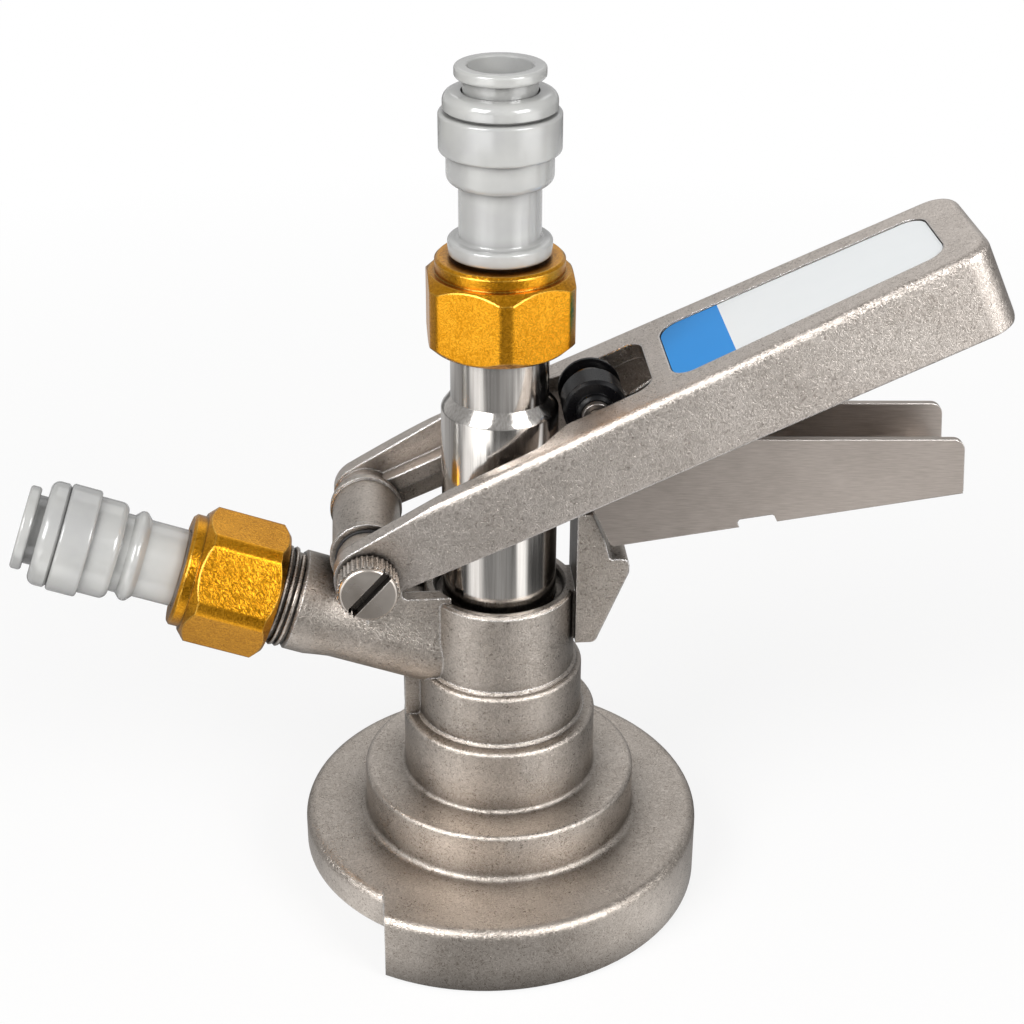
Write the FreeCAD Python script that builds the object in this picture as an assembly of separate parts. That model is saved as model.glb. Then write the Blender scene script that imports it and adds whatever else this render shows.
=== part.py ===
import FreeCAD, Part
import math
import os

from FreeCAD import Vector

# Slide-on keg coupler. Millimetres. Z is up and runs along the probe.
# The origin is on the probe axis, in the plane of the skirt's underside.
# The lever points to +X and the gas arm to -X.

# Fits and gaps
seat_gap = 0.05
running_gap = 0.10
open_gap = 0.30

# Base that slides onto the keg neck
flange_radius = 44.3
flange_under_z = 7.8
flange_top_z = 16.0
flange_edge_round = 2.2
skirt_radius = 48.1
skirt_centre_x = -3.0
skirt_end_x = -27.4
skirt_far_end_x = -12.0
lip_thickness = 3.2
lip_slot_radius = 33.0
pocket_radius = 38.0
pocket_top_z = 8.4

# Stepped column above the base
foot_radius = 30.4
foot_top_z = 27.3
drum_radius = 21.3
drum_top_z = 42.6
waist_radius = 18.2
waist_top_z = 54.8
column_radius = 16.4
column_top_z = 74.0
step_round = 1.1
foot_fillet = 1.6
small_fillet = 0.6

# Bores inside the column
seal_seat_radius = 19.0
seal_seat_top_z = 14.0
plenum_radius = 15.0
plenum_top_z = 49.5
guide_chamfer = 1.4
mouth_radius = 13.9
mouth_depth = 2.4

# Gas arm, measured along its own axis from the probe axis
arm_rise_deg = 19.5
arm_cross_z = 55.3
arm_radius = 10.2
arm_end_radius = 11.0
arm_flare_back = 10.6
arm_flare_length = 5.5
thread_relief = 4.1
thread_root_radius = 10.0
arm_spigot_radius = 10.6
arm_bore_radius = 6.2
arm_bore_end = 18.0
gas_drop_radius = 2.2
gas_drop_x = -16.2
gas_drop_bottom_z = 39.0
rib_half_width = 4.0
rib_outer_x = -21.2

# Lever pivot
pivot_x = -28.4
pivot_z = 87.0
sleeve_radius = 7.3
sleeve_half_length = 11.5
sleeve_bead = 0.5
sleeve_bead_length = 1.6
cheek_half_gap = 6.1
cheek_thickness = 3.4
cheek_top_z = 75.3
cheek_neck_x = -21.3
cheek_left_x = -28.8
cheek_bottom_z = 62.0
bush_wall = 1.0
bush_length = 9.0
washer_thickness = 0.5
pin_radius = 3.5

# Catch post that the trigger hooks on
post_half_width = 7.4
post_root_half_width = 5.5
post_inner_x = 16.0
post_top_z = 93.2
post_top_x = 19.2
post_waist_x = 22.2
post_waist_z = 86.0
ledge_x = 23.1
ledge_z = 82.2
nose_x = 27.3
nose_round = 1.6
nose_bottom_z = 79.0
post_bottom_x = 20.3
post_bottom_z = 61.8

# Probe
probe_radius = 12.25
probe_skirt_z = 46.0
probe_shoulder_height = 2.8
probe_neck_length = 10.3
probe_neck_radius = 10.24
probe_step_drop = 1.3
probe_step_height = 0.9
probe_step_radius = 11.2
probe_spigot_radius = 10.6
probe_tail_radius = 9.0
probe_tip_z = 10.0
probe_tip_radius = 8.2
probe_tip_lip = 1.2
probe_bore_radius = 5.0
tip_seal_height = 3.2
tip_seal_radius = 9.8
ring_section = 1.0
ring_sides = 12
upper_ring_z = 70.0
lower_ring_z = 66.0
guide_pin_radius = 3.4
guide_pin_stub = 2.9
guide_pin_end_y = 15.6
guide_pin_root_y = 6.4

# Beer check valve in the top of the probe
ball_radius = 5.9
ball_seat_drop = 12.3
ball_chamber_radius = 7.2
ball_lift = 2.0
cage_flange_radius = 8.6
cage_flange_height = 2.4
cage_wall = 1.2
cage_bar = 2.2
cage_bar_height = 1.4

# Lever, drawn flat along u with v upwards, then raised about the pivot
lever_raise_deg = 25.0
lever_travel_deg = 28.0
lever_end_u = 140.7
lever_top_v = 9.4
lever_boss_radius = 7.0
lever_shoulder_u = 23.0
lever_bottom_start_v = -5.3
lever_bottom_end_v = -9.3
fork_half_width = 20.9
taper_start_u = 30.0
grip_half_width = 16.6
grip_corner_round = 6.5
grip_low_round = 1.6
lever_wall = 4.0
lever_roof = 3.6
lever_edge_round = 2.0
slot_half_width = 11.6
slot_end_u = 69.2
slot_corner_round = 4.0
slot_neck_start_u = 43.5
slot_neck_end_u = 49.5
rail_half_gap = 12.65
rail_start_u = 5.0
rail_low_v = -0.3
rail_high_v = 3.1
cam_plate_start_u = 22.0
cam_plate_end_u = 41.0
cam_plate_rise = 3.0
cam_plate_half_height = 5.4
rail_round = 1.5
cam_end_play = 0.4

# Label seat on the lever
label_start_u = 73.4
label_end_u = 132.8
label_start_half_width = 12.7
label_end_half_width = 10.6
label_corner = 4.5
label_recess = 0.8
label_thickness = 0.5

# Pivot screw
screw_head_radius = 6.0
screw_head_length = 6.2
screw_head_chamfer = 0.7
screw_slot_width = 2.1
screw_slot_depth = 2.4
screw_slot_turn_deg = 48.0

# Trigger, drawn in the lever's u and v
trigger_u = 55.8
trigger_v = 7.0
trigger_half_width = 9.7
trigger_sheet = 1.5
trigger_front_u = 46.5
trigger_front_v = -22.0
trigger_ear_radius = 3.0
trigger_heel_u = 62.2
trigger_heel_v = -1.9
trigger_tip_u = 122.6
trigger_tip_v = -32.5
trigger_tail_u = 118.2
trigger_tail_v = -44.3
trigger_tip_round = 2.6
trigger_heel_round = 2.6
trigger_web_start_u = 57.7
notch_start_u = 72.5
notch_end_u = 80.2
notch_depth = 2.0
trigger_pin_radius = 1.9
trigger_pin_end_y = 17.6
catch_bar_u = 54.8
catch_bar_v = -21.2
catch_bar_radius = 1.5
catch_bar_seat = 0.9
spring_tab_u = 66.2
spring_tab_v = -7.9
spring_tab_length = 5.0

# Spring spool on the trigger's axle
spool_radius = 6.6
spool_drum_radius = 4.0
spool_groove_low_y = 0.2
spool_groove_high_y = 5.0
spool_end_y = 6.4
spool_hub_radius = 3.9
spool_hub_y = 8.0
spring_wire = 0.45
wire_sides = 8
spring_turns = 4
spring_tab_leg = 16.6
spring_tab_leg_deg = -72.0
spring_roof_leg = 14.0
spring_roof_leg_deg = 11.0

# Union nuts, each placed by its depth below its collet's face
hexagon_sides = 6
beer_nut_flats = 29.3
beer_nut_depth = 57.2
beer_nut_hex = 15.7
beer_nut_collar_radius = 13.2
beer_nut_collar = 3.0
beer_nut_turn_deg = 30.9
gas_nut_flats = 27.0
gas_nut_depth = 55.3
gas_nut_hex = 18.1
gas_nut_collar_radius = 12.2
gas_nut_collar = 2.7
gas_nut_turn_deg = 30.0
nut_shoulder = 3.6
nut_corner_trim = 0.75
nut_chamfer = 1.9
nut_chamfer_depth = 1.8
tail_washer = 1.6
stem_radius = 8.2
bead_flange_radius = 10.0
bead_flange = 2.3

# Push fittings, measured inwards from the face of the collet
collet_face_z = 187.5
gas_collet_face = 107.0
tube_radius = 6.35
tube_gap = 0.10
collet_flange = 2.4
collet_wall = 0.95
collet_radius = 9.0
collet_length = 12.8
collet_slit = 1.0
cap_spigot = 3.0
cap_spigot_radius = 9.6
grab_ring_depth = 15.4
grab_ring_thickness = 0.4
o_ring_depth = 18.2
o_ring_section = 0.95
socket_depth = 29.0
through_radius = 4.6
cap_top_round = 1.9
ring_round = 0.7
collar_round = 1.7

# Outside of the upper fitting, as depths below its collet's face
beer_cap_top = 5.0
beer_cap_radius = 11.3
beer_ring_start = 8.9
beer_ring_radius = 12.15
beer_ring_end = 16.9
beer_collar_radius = 10.7
beer_collar_end = 23.2
beer_stem_radius = 8.3
beer_foot_start = 34.7
beer_foot_radius = 10.55
beer_foot_end = 38.0

# Outside of the gas arm's fitting, as depths below its collet's face
gas_cap_top = 4.0
gas_cap_radius = 11.3
gas_ring_start = 8.2
gas_ring_radius = 11.6
gas_ring_end = 14.7
gas_collar_radius = 10.5
gas_collar_end = 20.9
gas_groove_radius = 8.5
gas_ridge_start = 22.4
gas_ridge_radius = 9.8
gas_ridge_flank = 1.3
gas_ridge_end = 26.1
gas_stem_radius = 8.4
gas_stem_end = 34.1

# Values worked out from the sizes above
beer_nut_bottom_z = collet_face_z - beer_nut_depth
gas_nut_start = gas_collet_face - gas_nut_depth
arm_casting_end = gas_nut_start - thread_relief
arm_flare_start = arm_casting_end - arm_flare_back
arm_flare_end = arm_flare_start + arm_flare_length
probe_step_z = beer_nut_bottom_z - probe_step_drop
probe_neck_z = probe_step_z - probe_neck_length
probe_shoulder_z = probe_neck_z - probe_shoulder_height
ball_seat_z = beer_nut_bottom_z - ball_seat_drop
lever_raise = math.radians(lever_raise_deg)
lever_travel = math.radians(lever_travel_deg)
arm_rise = math.radians(arm_rise_deg)
guide_radius = probe_radius + running_gap
pin_reach = -pivot_x
guide_pin_z = pivot_z + pin_reach * math.tan(lever_raise)
probe_stroke = pin_reach * (math.tan(lever_raise) - math.tan(lever_raise - lever_travel))
bush_bore = pin_radius + running_gap
bush_radius = bush_bore + bush_wall
ball_z = ball_seat_z + math.sqrt(ball_radius ** 2 - probe_bore_radius ** 2) + seat_gap
tube_hole_radius = tube_radius + tube_gap
tail_stack = nut_shoulder + bead_flange + tail_washer + 3 * seat_gap
arm_face = gas_nut_start + gas_nut_hex + gas_nut_collar - tail_stack
probe_face_z = beer_nut_bottom_z + beer_nut_hex + beer_nut_collar - tail_stack


# Shapes shared by several pieces

def rounded_edges(corners, place):
    """Edges of a closed outline; each corner is (a, b, size): bevelled if small, or else rounded."""
    starts = []
    middles = []
    ends = []
    for index, (a, b, radius) in enumerate(corners):
        here = Vector(a, b, 0)
        after = corners[(index + 1) % len(corners)]
        back = Vector(corners[index - 1][0], corners[index - 1][1], 0).sub(here).normalize()
        ahead = Vector(after[0], after[1], 0).sub(here).normalize()
        half = back.getAngle(ahead) / 2
        reach = radius / math.tan(half)
        inward = back.add(ahead)
        if radius > 0:
            inward.normalize()
        starts.append(here.add(back * reach))
        middles.append(here.add(inward * (radius / math.sin(half) - radius)) if radius > 0 else None)
        ends.append(here.add(ahead * reach))
    edges = []
    for index, middle in enumerate(middles):
        if middle is not None and corners[index][2] <= small_fillet:
            edges.append(Part.makeLine(place(starts[index]), place(ends[index])))
        elif middle is not None:
            arc = Part.Arc(place(starts[index]), place(middle), place(ends[index]))
            edges.append(arc.toShape())
        following = starts[(index + 1) % len(starts)]
        if ends[index].sub(following).Length > 1e-6:
            edges.append(Part.makeLine(place(ends[index]), place(following)))
    return edges


def outline_face(corners, place):
    """Flat face inside a rounded outline."""
    return Part.Face(Part.Wire(rounded_edges(corners, place)))


def turned(corners):
    """Solid turned about Z from corners given as (radius, height, rounding)."""
    face = outline_face(corners, lambda p: Vector(p.x, 0, p.y))
    return face.revolve(Vector(0, 0, 0), Vector(0, 0, 1), 360)


def side_plate(corners, y_low, y_high):
    """Plate drawn in X and Z, from y_low to y_high."""
    face = outline_face(corners, lambda p: Vector(p.x, y_low, p.y))
    return face.extrude(Vector(0, y_high - y_low, 0))


def plan_plate(corners, z_low, z_high):
    """Plate drawn in X and Y, from z_low to z_high."""
    face = outline_face(corners, lambda p: Vector(p.x, p.y, z_low))
    return face.extrude(Vector(0, 0, z_high - z_low))


def tube(outer, inner, z_low, z_high):
    """Plain ring or bush along Z."""
    corners = [(inner, z_low, 0), (outer, z_low, 0), (outer, z_high, 0), (inner, z_high, 0)]
    return turned(corners)


def rod(radius, z_low, z_high):
    """Plain cylinder on the Z axis."""
    return Part.makeCylinder(radius, z_high - z_low, Vector(0, 0, z_low))


def cross_rod(radius, x, z, y_low, y_high):
    """Plain cylinder along Y."""
    return Part.makeCylinder(radius, y_high - y_low, Vector(x, y_low, z), Vector(0, 1, 0))


def ring_seal(section, outer, z):
    """Ring about Z with a nearly round, many-sided section."""
    middle = outer - section
    corners = []
    for index in range(ring_sides):
        angle = 2 * math.pi * index / ring_sides
        corners.append((middle + section * math.cos(angle), z + section * math.sin(angle), 0))
    return turned(corners)


def raised(shape):
    """Moves a shape drawn along the lever to its place, raised about the pivot."""
    moved = shape.copy()
    moved.rotate(Vector(0, 0, 0), Vector(0, 1, 0), -lever_raise_deg)
    moved.translate(Vector(pivot_x, 0, pivot_z))
    return moved


def on_arm(shape):
    """Moves a shape drawn along Z to the gas arm, whose axis starts at the probe axis."""
    moved = shape.copy()
    moved.rotate(Vector(0, 0, 0), Vector(0, 1, 0), arm_rise_deg - 90)
    moved.translate(Vector(0, 0, arm_cross_z))
    return moved


def mirrored(shape):
    """Copy on the other side of the lever's plane."""
    return shape.mirror(Vector(0, 0, 0), Vector(0, 1, 0))


def save(name, shape):
    """Writes one node, after a look at its solids."""
    shape = shape.removeSplitter()
    if not shape.isValid():
        raise ValueError(name + " isn't a valid solid")
    if shape.Volume <= 0:
        raise ValueError(name + " has no volume")
    shape.exportStep(os.path.join("parts", name + ".step"))


# Coupler body: one casting

def column_blank():
    """Flange and stepped column, before it is bored."""
    return turned([
        (0, flange_under_z, 0),
        (flange_radius, flange_under_z, small_fillet),
        (flange_radius, flange_top_z, flange_edge_round),
        (foot_radius, flange_top_z, foot_fillet),
        (foot_radius, foot_top_z, step_round),
        (drum_radius, foot_top_z, step_round),
        (drum_radius, drum_top_z, step_round),
        (waist_radius, drum_top_z, small_fillet),
        (waist_radius, waist_top_z, step_round),
        (column_radius, waist_top_z, small_fillet),
        (column_radius, column_top_z, small_fillet),
        (0, column_top_z, 0),
    ])


def horseshoe(radius, leg_x, z_low, z_high):
    """D-shaped plate: a half circle towards +X with straight legs to leg_x."""
    arc = Part.Arc(Vector(0, -radius, z_low), Vector(radius, 0, z_low), Vector(0, radius, z_low))
    corners = [Vector(0, radius, z_low), Vector(leg_x, radius, z_low)]
    corners += [Vector(leg_x, -radius, z_low), Vector(0, -radius, z_low)]
    edges = [arc.toShape()]
    edges += [Part.makeLine(corners[i], corners[i + 1]) for i in range(len(corners) - 1)]
    return Part.Face(Part.Wire(edges)).extrude(Vector(0, 0, z_high - z_low))


def skirt():
    """Skirt that reaches under the rim of the keg neck on three sides."""
    disc = turned([
        (0, 0, 0),
        (skirt_radius, 0, small_fillet),
        (skirt_radius, flange_top_z, flange_edge_round),
        (0, flange_top_z, 0),
    ])
    disc.translate(Vector(skirt_centre_x, 0, 0))
    reach = 2 * skirt_radius
    kept = plan_plate([
        (skirt_end_x, -reach, 0),
        (reach, -reach, 0),
        (reach, reach, 0),
        (skirt_far_end_x, reach, 0),
        (skirt_far_end_x, 0, 0),
        (skirt_end_x, 0, 0),
    ], 0, flange_top_z)
    return disc.common(kept)


def arm_blank():
    """Gas arm with its flared end and its spigot for the union nut."""
    return on_arm(turned([
        (0, 0, 0),
        (arm_radius, 0, 0),
        (arm_radius, arm_flare_start, 0),
        (arm_end_radius, arm_flare_end, 0),
        (arm_end_radius, arm_casting_end, small_fillet),
        (thread_root_radius, arm_casting_end, 0),
        (thread_root_radius, gas_nut_start + small_fillet, 0),
        (arm_spigot_radius, gas_nut_start + small_fillet, 0),
        (arm_spigot_radius, arm_face, 0),
        (0, arm_face, 0),
    ]))


def pivot_sleeve():
    """Cross sleeve for the pivot screw, on two cheeks above the gas arm."""
    sleeve = cross_rod(sleeve_radius, pivot_x, pivot_z, -sleeve_half_length, sleeve_half_length)
    bead_start = sleeve_half_length - sleeve_bead_length
    bead_radius_out = sleeve_radius + sleeve_bead
    bead = cross_rod(bead_radius_out, pivot_x, pivot_z, bead_start, sleeve_half_length)
    cheek = side_plate([
        (cheek_left_x, cheek_bottom_z, 0),
        (0, cheek_bottom_z, 0),
        (0, cheek_top_z, 0),
        (cheek_neck_x, cheek_top_z, step_round),
        (cheek_neck_x, pivot_z, 0),
        (cheek_left_x, pivot_z, 0),
    ], cheek_half_gap, cheek_half_gap + cheek_thickness)
    near_side = bead.fuse(cheek)
    return sleeve.fuse([near_side, mirrored(near_side)])


def arm_rib():
    """Rib under the gas arm that holds the gas drop."""
    height = arm_cross_z - drum_top_z
    width = -rib_outer_x
    corner = Vector(rib_outer_x, -rib_half_width, drum_top_z)
    return Part.makeBox(width, 2 * rib_half_width, height, corner)


def catch_post():
    """Post with the nose that the trigger hooks on."""
    return side_plate([
        (post_inner_x, post_bottom_z, 0),
        (post_bottom_x, post_bottom_z, nose_round),
        (nose_x, nose_bottom_z, nose_round),
        (nose_x, ledge_z, nose_round),
        (ledge_x, ledge_z, small_fillet),
        (post_waist_x, post_waist_z, 0),
        (post_top_x, post_top_z, small_fillet),
        (post_inner_x, post_top_z, small_fillet),
    ], -post_half_width, post_half_width)


def post_root():
    """Block that joins the catch post to the column."""
    depth = post_inner_x + seat_gap
    height = column_top_z - post_bottom_z
    corner = Vector(0, -post_root_half_width, post_bottom_z)
    return Part.makeBox(depth, 2 * post_root_half_width, height, corner)


def neck_slot():
    """Slot that the rim of the keg neck slides into."""
    reach = 2 * skirt_radius
    opening = horseshoe(lip_slot_radius, -reach, -lip_thickness, lip_thickness)
    pocket = horseshoe(pocket_radius, skirt_end_x, lip_thickness, pocket_top_z)
    way_in = horseshoe(pocket_radius, -reach, lip_thickness, flange_under_z)
    return opening.fuse([pocket, way_in])


def body_bores():
    """Seal seat, gas chamber, probe guide and gas passages."""
    bore = turned([
        (0, -lip_thickness, 0),
        (seal_seat_radius, -lip_thickness, 0),
        (seal_seat_radius, seal_seat_top_z, 0),
        (plenum_radius, seal_seat_top_z, 0),
        (plenum_radius, plenum_top_z - guide_chamfer, 0),
        (guide_radius, plenum_top_z, 0),
        (guide_radius, column_top_z - mouth_depth, 0),
        (mouth_radius, column_top_z - mouth_depth, 0),
        (mouth_radius, column_top_z - small_fillet, 0),
        (mouth_radius + small_fillet, column_top_z, 0),
        (mouth_radius + small_fillet, post_top_z, 0),
        (0, post_top_z, 0),
    ])
    arm_bore = on_arm(rod(arm_bore_radius, arm_bore_end, arm_face))
    valve_seat = on_arm(rod(valve_flange_radius() + seat_gap, valve_flange_start(), arm_face))
    drop_top = arm_cross_z - gas_drop_x * math.tan(arm_rise)
    drop = rod(gas_drop_radius, gas_drop_bottom_z, drop_top)
    drop.translate(Vector(gas_drop_x, 0, 0))
    sleeve_end = sleeve_half_length + sleeve_bead
    sleeve_bore = cross_rod(bush_radius + seat_gap, pivot_x, pivot_z, -sleeve_end, sleeve_end)
    return bore.fuse([arm_bore, valve_seat, drop, sleeve_bore])


def coupler_body():
    """The whole casting, bored and machined."""
    blank = column_blank().fuse([skirt(), arm_blank(), pivot_sleeve(), arm_rib()])
    blank = blank.fuse([catch_post(), post_root()])
    return blank.cut(neck_slot()).cut(body_bores())


# Pieces that stay with the body

def neck_seal():
    """Rubber seal that the keg neck presses on."""
    outer = seal_seat_radius - seat_gap
    inner = probe_radius + 2 * open_gap
    lip = flange_under_z - 2 * small_fillet
    return turned([
        (inner, lip, 0),
        (inner + ring_section, lip, 0),
        (outer, flange_under_z, 0),
        (outer, seal_seat_top_z - seat_gap, 0),
        (inner, seal_seat_top_z - seat_gap, small_fillet),
    ])


def valve_flange_radius():
    """Radius of the check valve's flange, inside the spigot."""
    return arm_bore_radius + 2.2 * ring_section


def valve_flange_start():
    """Where the check valve's flange seat starts along the arm."""
    return arm_face - tail_washer


def gas_check_valve():
    """Rubber duckbill that lets gas pass inwards only."""
    root = arm_bore_radius - open_gap
    wall = ring_section
    start = valve_flange_start() + seat_gap
    bill_start = start - root
    bill_end = bill_start - 2 * root
    flange = tube(valve_flange_radius(), root - wall, start, arm_face)
    barrel = tube(root, root - wall, bill_start, start)
    bill = Part.makeBox(2 * (root - wall), 2 * wall, bill_start - bill_end)
    bill.translate(Vector(wall - root, -wall, bill_end))
    wedge = Part.makeCone(wall, root, bill_start - bill_end, Vector(0, 0, bill_end))
    bill = bill.fuse(wedge)
    slit = Part.makeBox(root, seat_gap, root)
    slit.translate(Vector(-root / 2, -seat_gap / 2, bill_end))
    hollow = Part.makeCone(seat_gap, root - wall, root, Vector(0, 0, bill_start - root))
    return on_arm(flange.fuse([barrel, bill]).cut(hollow).cut(slit))


def pivot_bushes():
    """Two bushes pressed into the sleeve from its ends."""
    bush = tube(bush_radius, bush_bore, sleeve_half_length - bush_length, sleeve_half_length)
    bush.rotate(Vector(0, 0, 0), Vector(1, 0, 0), 90)
    bush.translate(Vector(pivot_x, 0, pivot_z))
    return Part.makeCompound([bush, mirrored(bush)])


# Union nuts and push fittings

def union_nut(flats, hex_length, collar_radius, collar, turn_deg):
    """Hexagon union nut, open end at Z = 0, with a turned collar."""
    corner = flats / (2 * math.cos(math.pi / hexagon_sides))
    points = []
    for index in range(hexagon_sides):
        angle = 2 * math.pi * index / hexagon_sides + math.radians(turn_deg)
        points.append((corner * math.cos(angle), corner * math.sin(angle), 0))
    hexagon = plan_plate(points, 0, hex_length)
    trim = corner - nut_corner_trim
    blank = turned([
        (0, 0, 0),
        (trim - nut_chamfer, 0, 0),
        (trim, nut_chamfer_depth, 0),
        (trim, hex_length - nut_chamfer_depth, 0),
        (trim - nut_chamfer, hex_length, 0),
        (0, hex_length, 0),
    ])
    length = hex_length + collar
    neck = turned([
        (0, 0, 0),
        (collar_radius, 0, 0),
        (collar_radius, length, small_fillet),
        (0, length, 0),
    ])
    inside = turned([
        (0, 0, 0),
        (nut_bore_radius() + small_fillet, 0, 0),
        (nut_bore_radius(), small_fillet, 0),
        (nut_bore_radius(), length - nut_shoulder, 0),
        (stem_radius + open_gap, length - nut_shoulder, 0),
        (stem_radius + open_gap, length, 0),
        (0, length, 0),
    ])
    return hexagon.common(blank).fuse(neck).cut(inside)


def nut_bore_radius():
    """Bore of both nuts, clear of the spigots that they screw onto."""
    return max(arm_spigot_radius, probe_spigot_radius) + open_gap


def fitting_body(outside, tail_depth):
    """Fitting body: outside corners down to the nut, then a stem with a captive flange."""
    mouth = outside[0][1]
    end_depth = outside[-1][1]
    spigot_floor = mouth - cap_spigot - seat_gap
    seal_floor = -o_ring_depth - 2 * o_ring_section
    chamber = tube_hole_radius + 2 * o_ring_section + seat_gap
    corners = [(cap_spigot_radius + seat_gap, mouth, 0)]
    corners += outside
    corners += [
        (stem_radius, end_depth, 0),
        (stem_radius, tail_depth + bead_flange, 0),
        (bead_flange_radius, tail_depth + bead_flange, 0),
        (bead_flange_radius, tail_depth, 0),
        (through_radius, tail_depth, 0),
        (through_radius, -socket_depth, 0),
        (tube_hole_radius, -socket_depth, 0),
        (tube_hole_radius, seal_floor, 0),
        (chamber, seal_floor, 0),
        (chamber, spigot_floor, 0),
        (cap_spigot_radius + seat_gap, spigot_floor, 0),
    ]
    return turned(corners)


def fitting_cap(radius, top, mouth):
    """Ring that keeps the collet in the fitting."""
    inner = tube_hole_radius + collet_wall + open_gap
    return turned([
        (inner, top, 0),
        (radius, top, cap_top_round),
        (radius, mouth + seat_gap, small_fillet),
        (cap_spigot_radius, mouth + seat_gap, 0),
        (cap_spigot_radius, mouth - cap_spigot, 0),
        (inner, mouth - cap_spigot, 0),
    ])


def fitting_collet():
    """Slotted collet that is pressed in to let the tube go."""
    outer = tube_hole_radius + collet_wall
    collet = turned([
        (tube_hole_radius, 0, small_fillet / 2),
        (collet_radius, 0, ring_round),
        (collet_radius, -collet_flange, ring_round),
        (outer, -collet_flange, 0),
        (outer, -collet_length, 0),
        (tube_hole_radius, -collet_length, 0),
    ])
    slit_height = collet_length / 2
    slit = Part.makeBox(2 * collet_radius, collet_slit, slit_height)
    slit.translate(Vector(-collet_radius, -collet_slit / 2, -collet_length))
    crossed = slit.copy()
    crossed.rotate(Vector(0, 0, 0), Vector(0, 0, 1), 90)
    return collet.cut(slit).cut(crossed)


def grab_ring():
    """Thin steel ring whose bent teeth bite on the tube."""
    inner = tube_hole_radius + seat_gap
    outer = tube_radius + 2 * o_ring_section
    middle = (inner + outer) / 2
    low = -grab_ring_depth
    lift = 2 * grab_ring_thickness
    return turned([
        (middle, low, 0),
        (outer, low, 0),
        (outer, low + grab_ring_thickness, 0),
        (middle, low + grab_ring_thickness, 0),
        (inner, low + grab_ring_thickness - lift, 0),
        (inner, low - lift, 0),
    ])


def fitting_o_ring():
    """Seal between the tube and the fitting."""
    return ring_seal(o_ring_section, tube_hole_radius + 2 * o_ring_section, -o_ring_depth - o_ring_section)


def beer_outside():
    """Outside of the upper fitting, from its mouth down to the nut."""
    return [
        (beer_ring_radius, -beer_ring_start, ring_round),
        (beer_ring_radius, -beer_ring_end, ring_round),
        (beer_collar_radius, -beer_ring_end, 0),
        (beer_collar_radius, -beer_collar_end, collar_round),
        (beer_stem_radius, -beer_collar_end, 0),
        (beer_stem_radius, -beer_foot_start, ring_round),
        (beer_foot_radius, -beer_foot_start, ring_round),
        (beer_foot_radius, -beer_foot_end, ring_round),
    ]


def gas_outside():
    """Outside of the arm's fitting, from its mouth down to the nut."""
    return [
        (gas_ring_radius, -gas_ring_start, ring_round),
        (gas_ring_radius, -gas_ring_end, ring_round),
        (gas_collar_radius, -gas_ring_end, 0),
        (gas_collar_radius, -gas_collar_end, collar_round),
        (gas_groove_radius, -gas_collar_end, 0),
        (gas_groove_radius, -gas_ridge_start, 0),
        (gas_ridge_radius, -gas_ridge_start - gas_ridge_flank, small_fillet),
        (gas_ridge_radius, -gas_ridge_end + gas_ridge_flank, small_fillet),
        (gas_stem_radius, -gas_ridge_end, 0),
        (gas_stem_radius, -gas_stem_end, 0),
    ]


def at_beer_face(shape):
    """Moves a fitting piece to the top of the probe."""
    moved = shape.copy()
    moved.translate(Vector(0, 0, collet_face_z))
    return moved


def at_gas_face(shape):
    """Moves a fitting piece to the end of the gas arm."""
    moved = shape.copy()
    moved.translate(Vector(0, 0, gas_collet_face))
    return on_arm(moved)


# Probe and what is in it

def probe_tube():
    """Probe: guide tube, neck, spigot and a tail that opens the keg valve."""
    tail_top = probe_skirt_z - (probe_radius - probe_tail_radius)
    seal_floor = probe_tip_z + probe_tip_lip + tip_seal_height
    groove = tip_seal_radius - 2 * probe_tip_lip
    blank = turned([
        (0, probe_tip_z, 0),
        (probe_tip_radius, probe_tip_z, small_fillet),
        (probe_tip_radius, probe_tip_z + probe_tip_lip, 0),
        (groove, probe_tip_z + probe_tip_lip, 0),
        (groove, seal_floor, 0),
        (probe_tail_radius, seal_floor, 0),
        (probe_tail_radius, tail_top, 0),
        (probe_radius, probe_skirt_z, 0),
        (probe_radius, probe_shoulder_z, small_fillet),
        (probe_neck_radius, probe_neck_z, 0),
        (probe_neck_radius, probe_step_z, 0),
        (probe_step_radius, probe_step_z, 0),
        (probe_step_radius, probe_step_z + probe_step_height, 0),
        (probe_spigot_radius, probe_step_z + probe_step_height, 0),
        (probe_spigot_radius, probe_face_z, small_fillet),
        (0, probe_face_z, 0),
    ])
    cage_seat = probe_face_z - cage_flange_height
    seat_rise = ball_chamber_radius - probe_bore_radius
    bore = turned([
        (0, probe_tip_z, 0),
        (probe_bore_radius, probe_tip_z, 0),
        (probe_bore_radius, ball_seat_z, 0),
        (ball_chamber_radius, ball_seat_z + seat_rise, 0),
        (ball_chamber_radius, cage_seat, 0),
        (cage_flange_radius + seat_gap, cage_seat, 0),
        (cage_flange_radius + seat_gap, probe_face_z, 0),
        (0, probe_face_z, 0),
    ])
    half = ring_section + open_gap
    groove_floor = guide_radius - 2 * ring_section - running_gap
    grooves = [tube(probe_radius + half, groove_floor, z - half, z + half)
               for z in (upper_ring_z, lower_ring_z)]
    hole = guide_pin_stub + seat_gap
    sockets = cross_rod(hole, 0, guide_pin_z, guide_pin_root_y - seat_gap, probe_radius)
    return blank.cut(bore.fuse(grooves + [sockets, mirrored(sockets)]))


def probe_o_rings():
    """Two rings that seal the probe in the guide bore."""
    outer = guide_radius - seat_gap
    return Part.makeCompound([ring_seal(ring_section, outer, z) for z in (upper_ring_z, lower_ring_z)])


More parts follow.
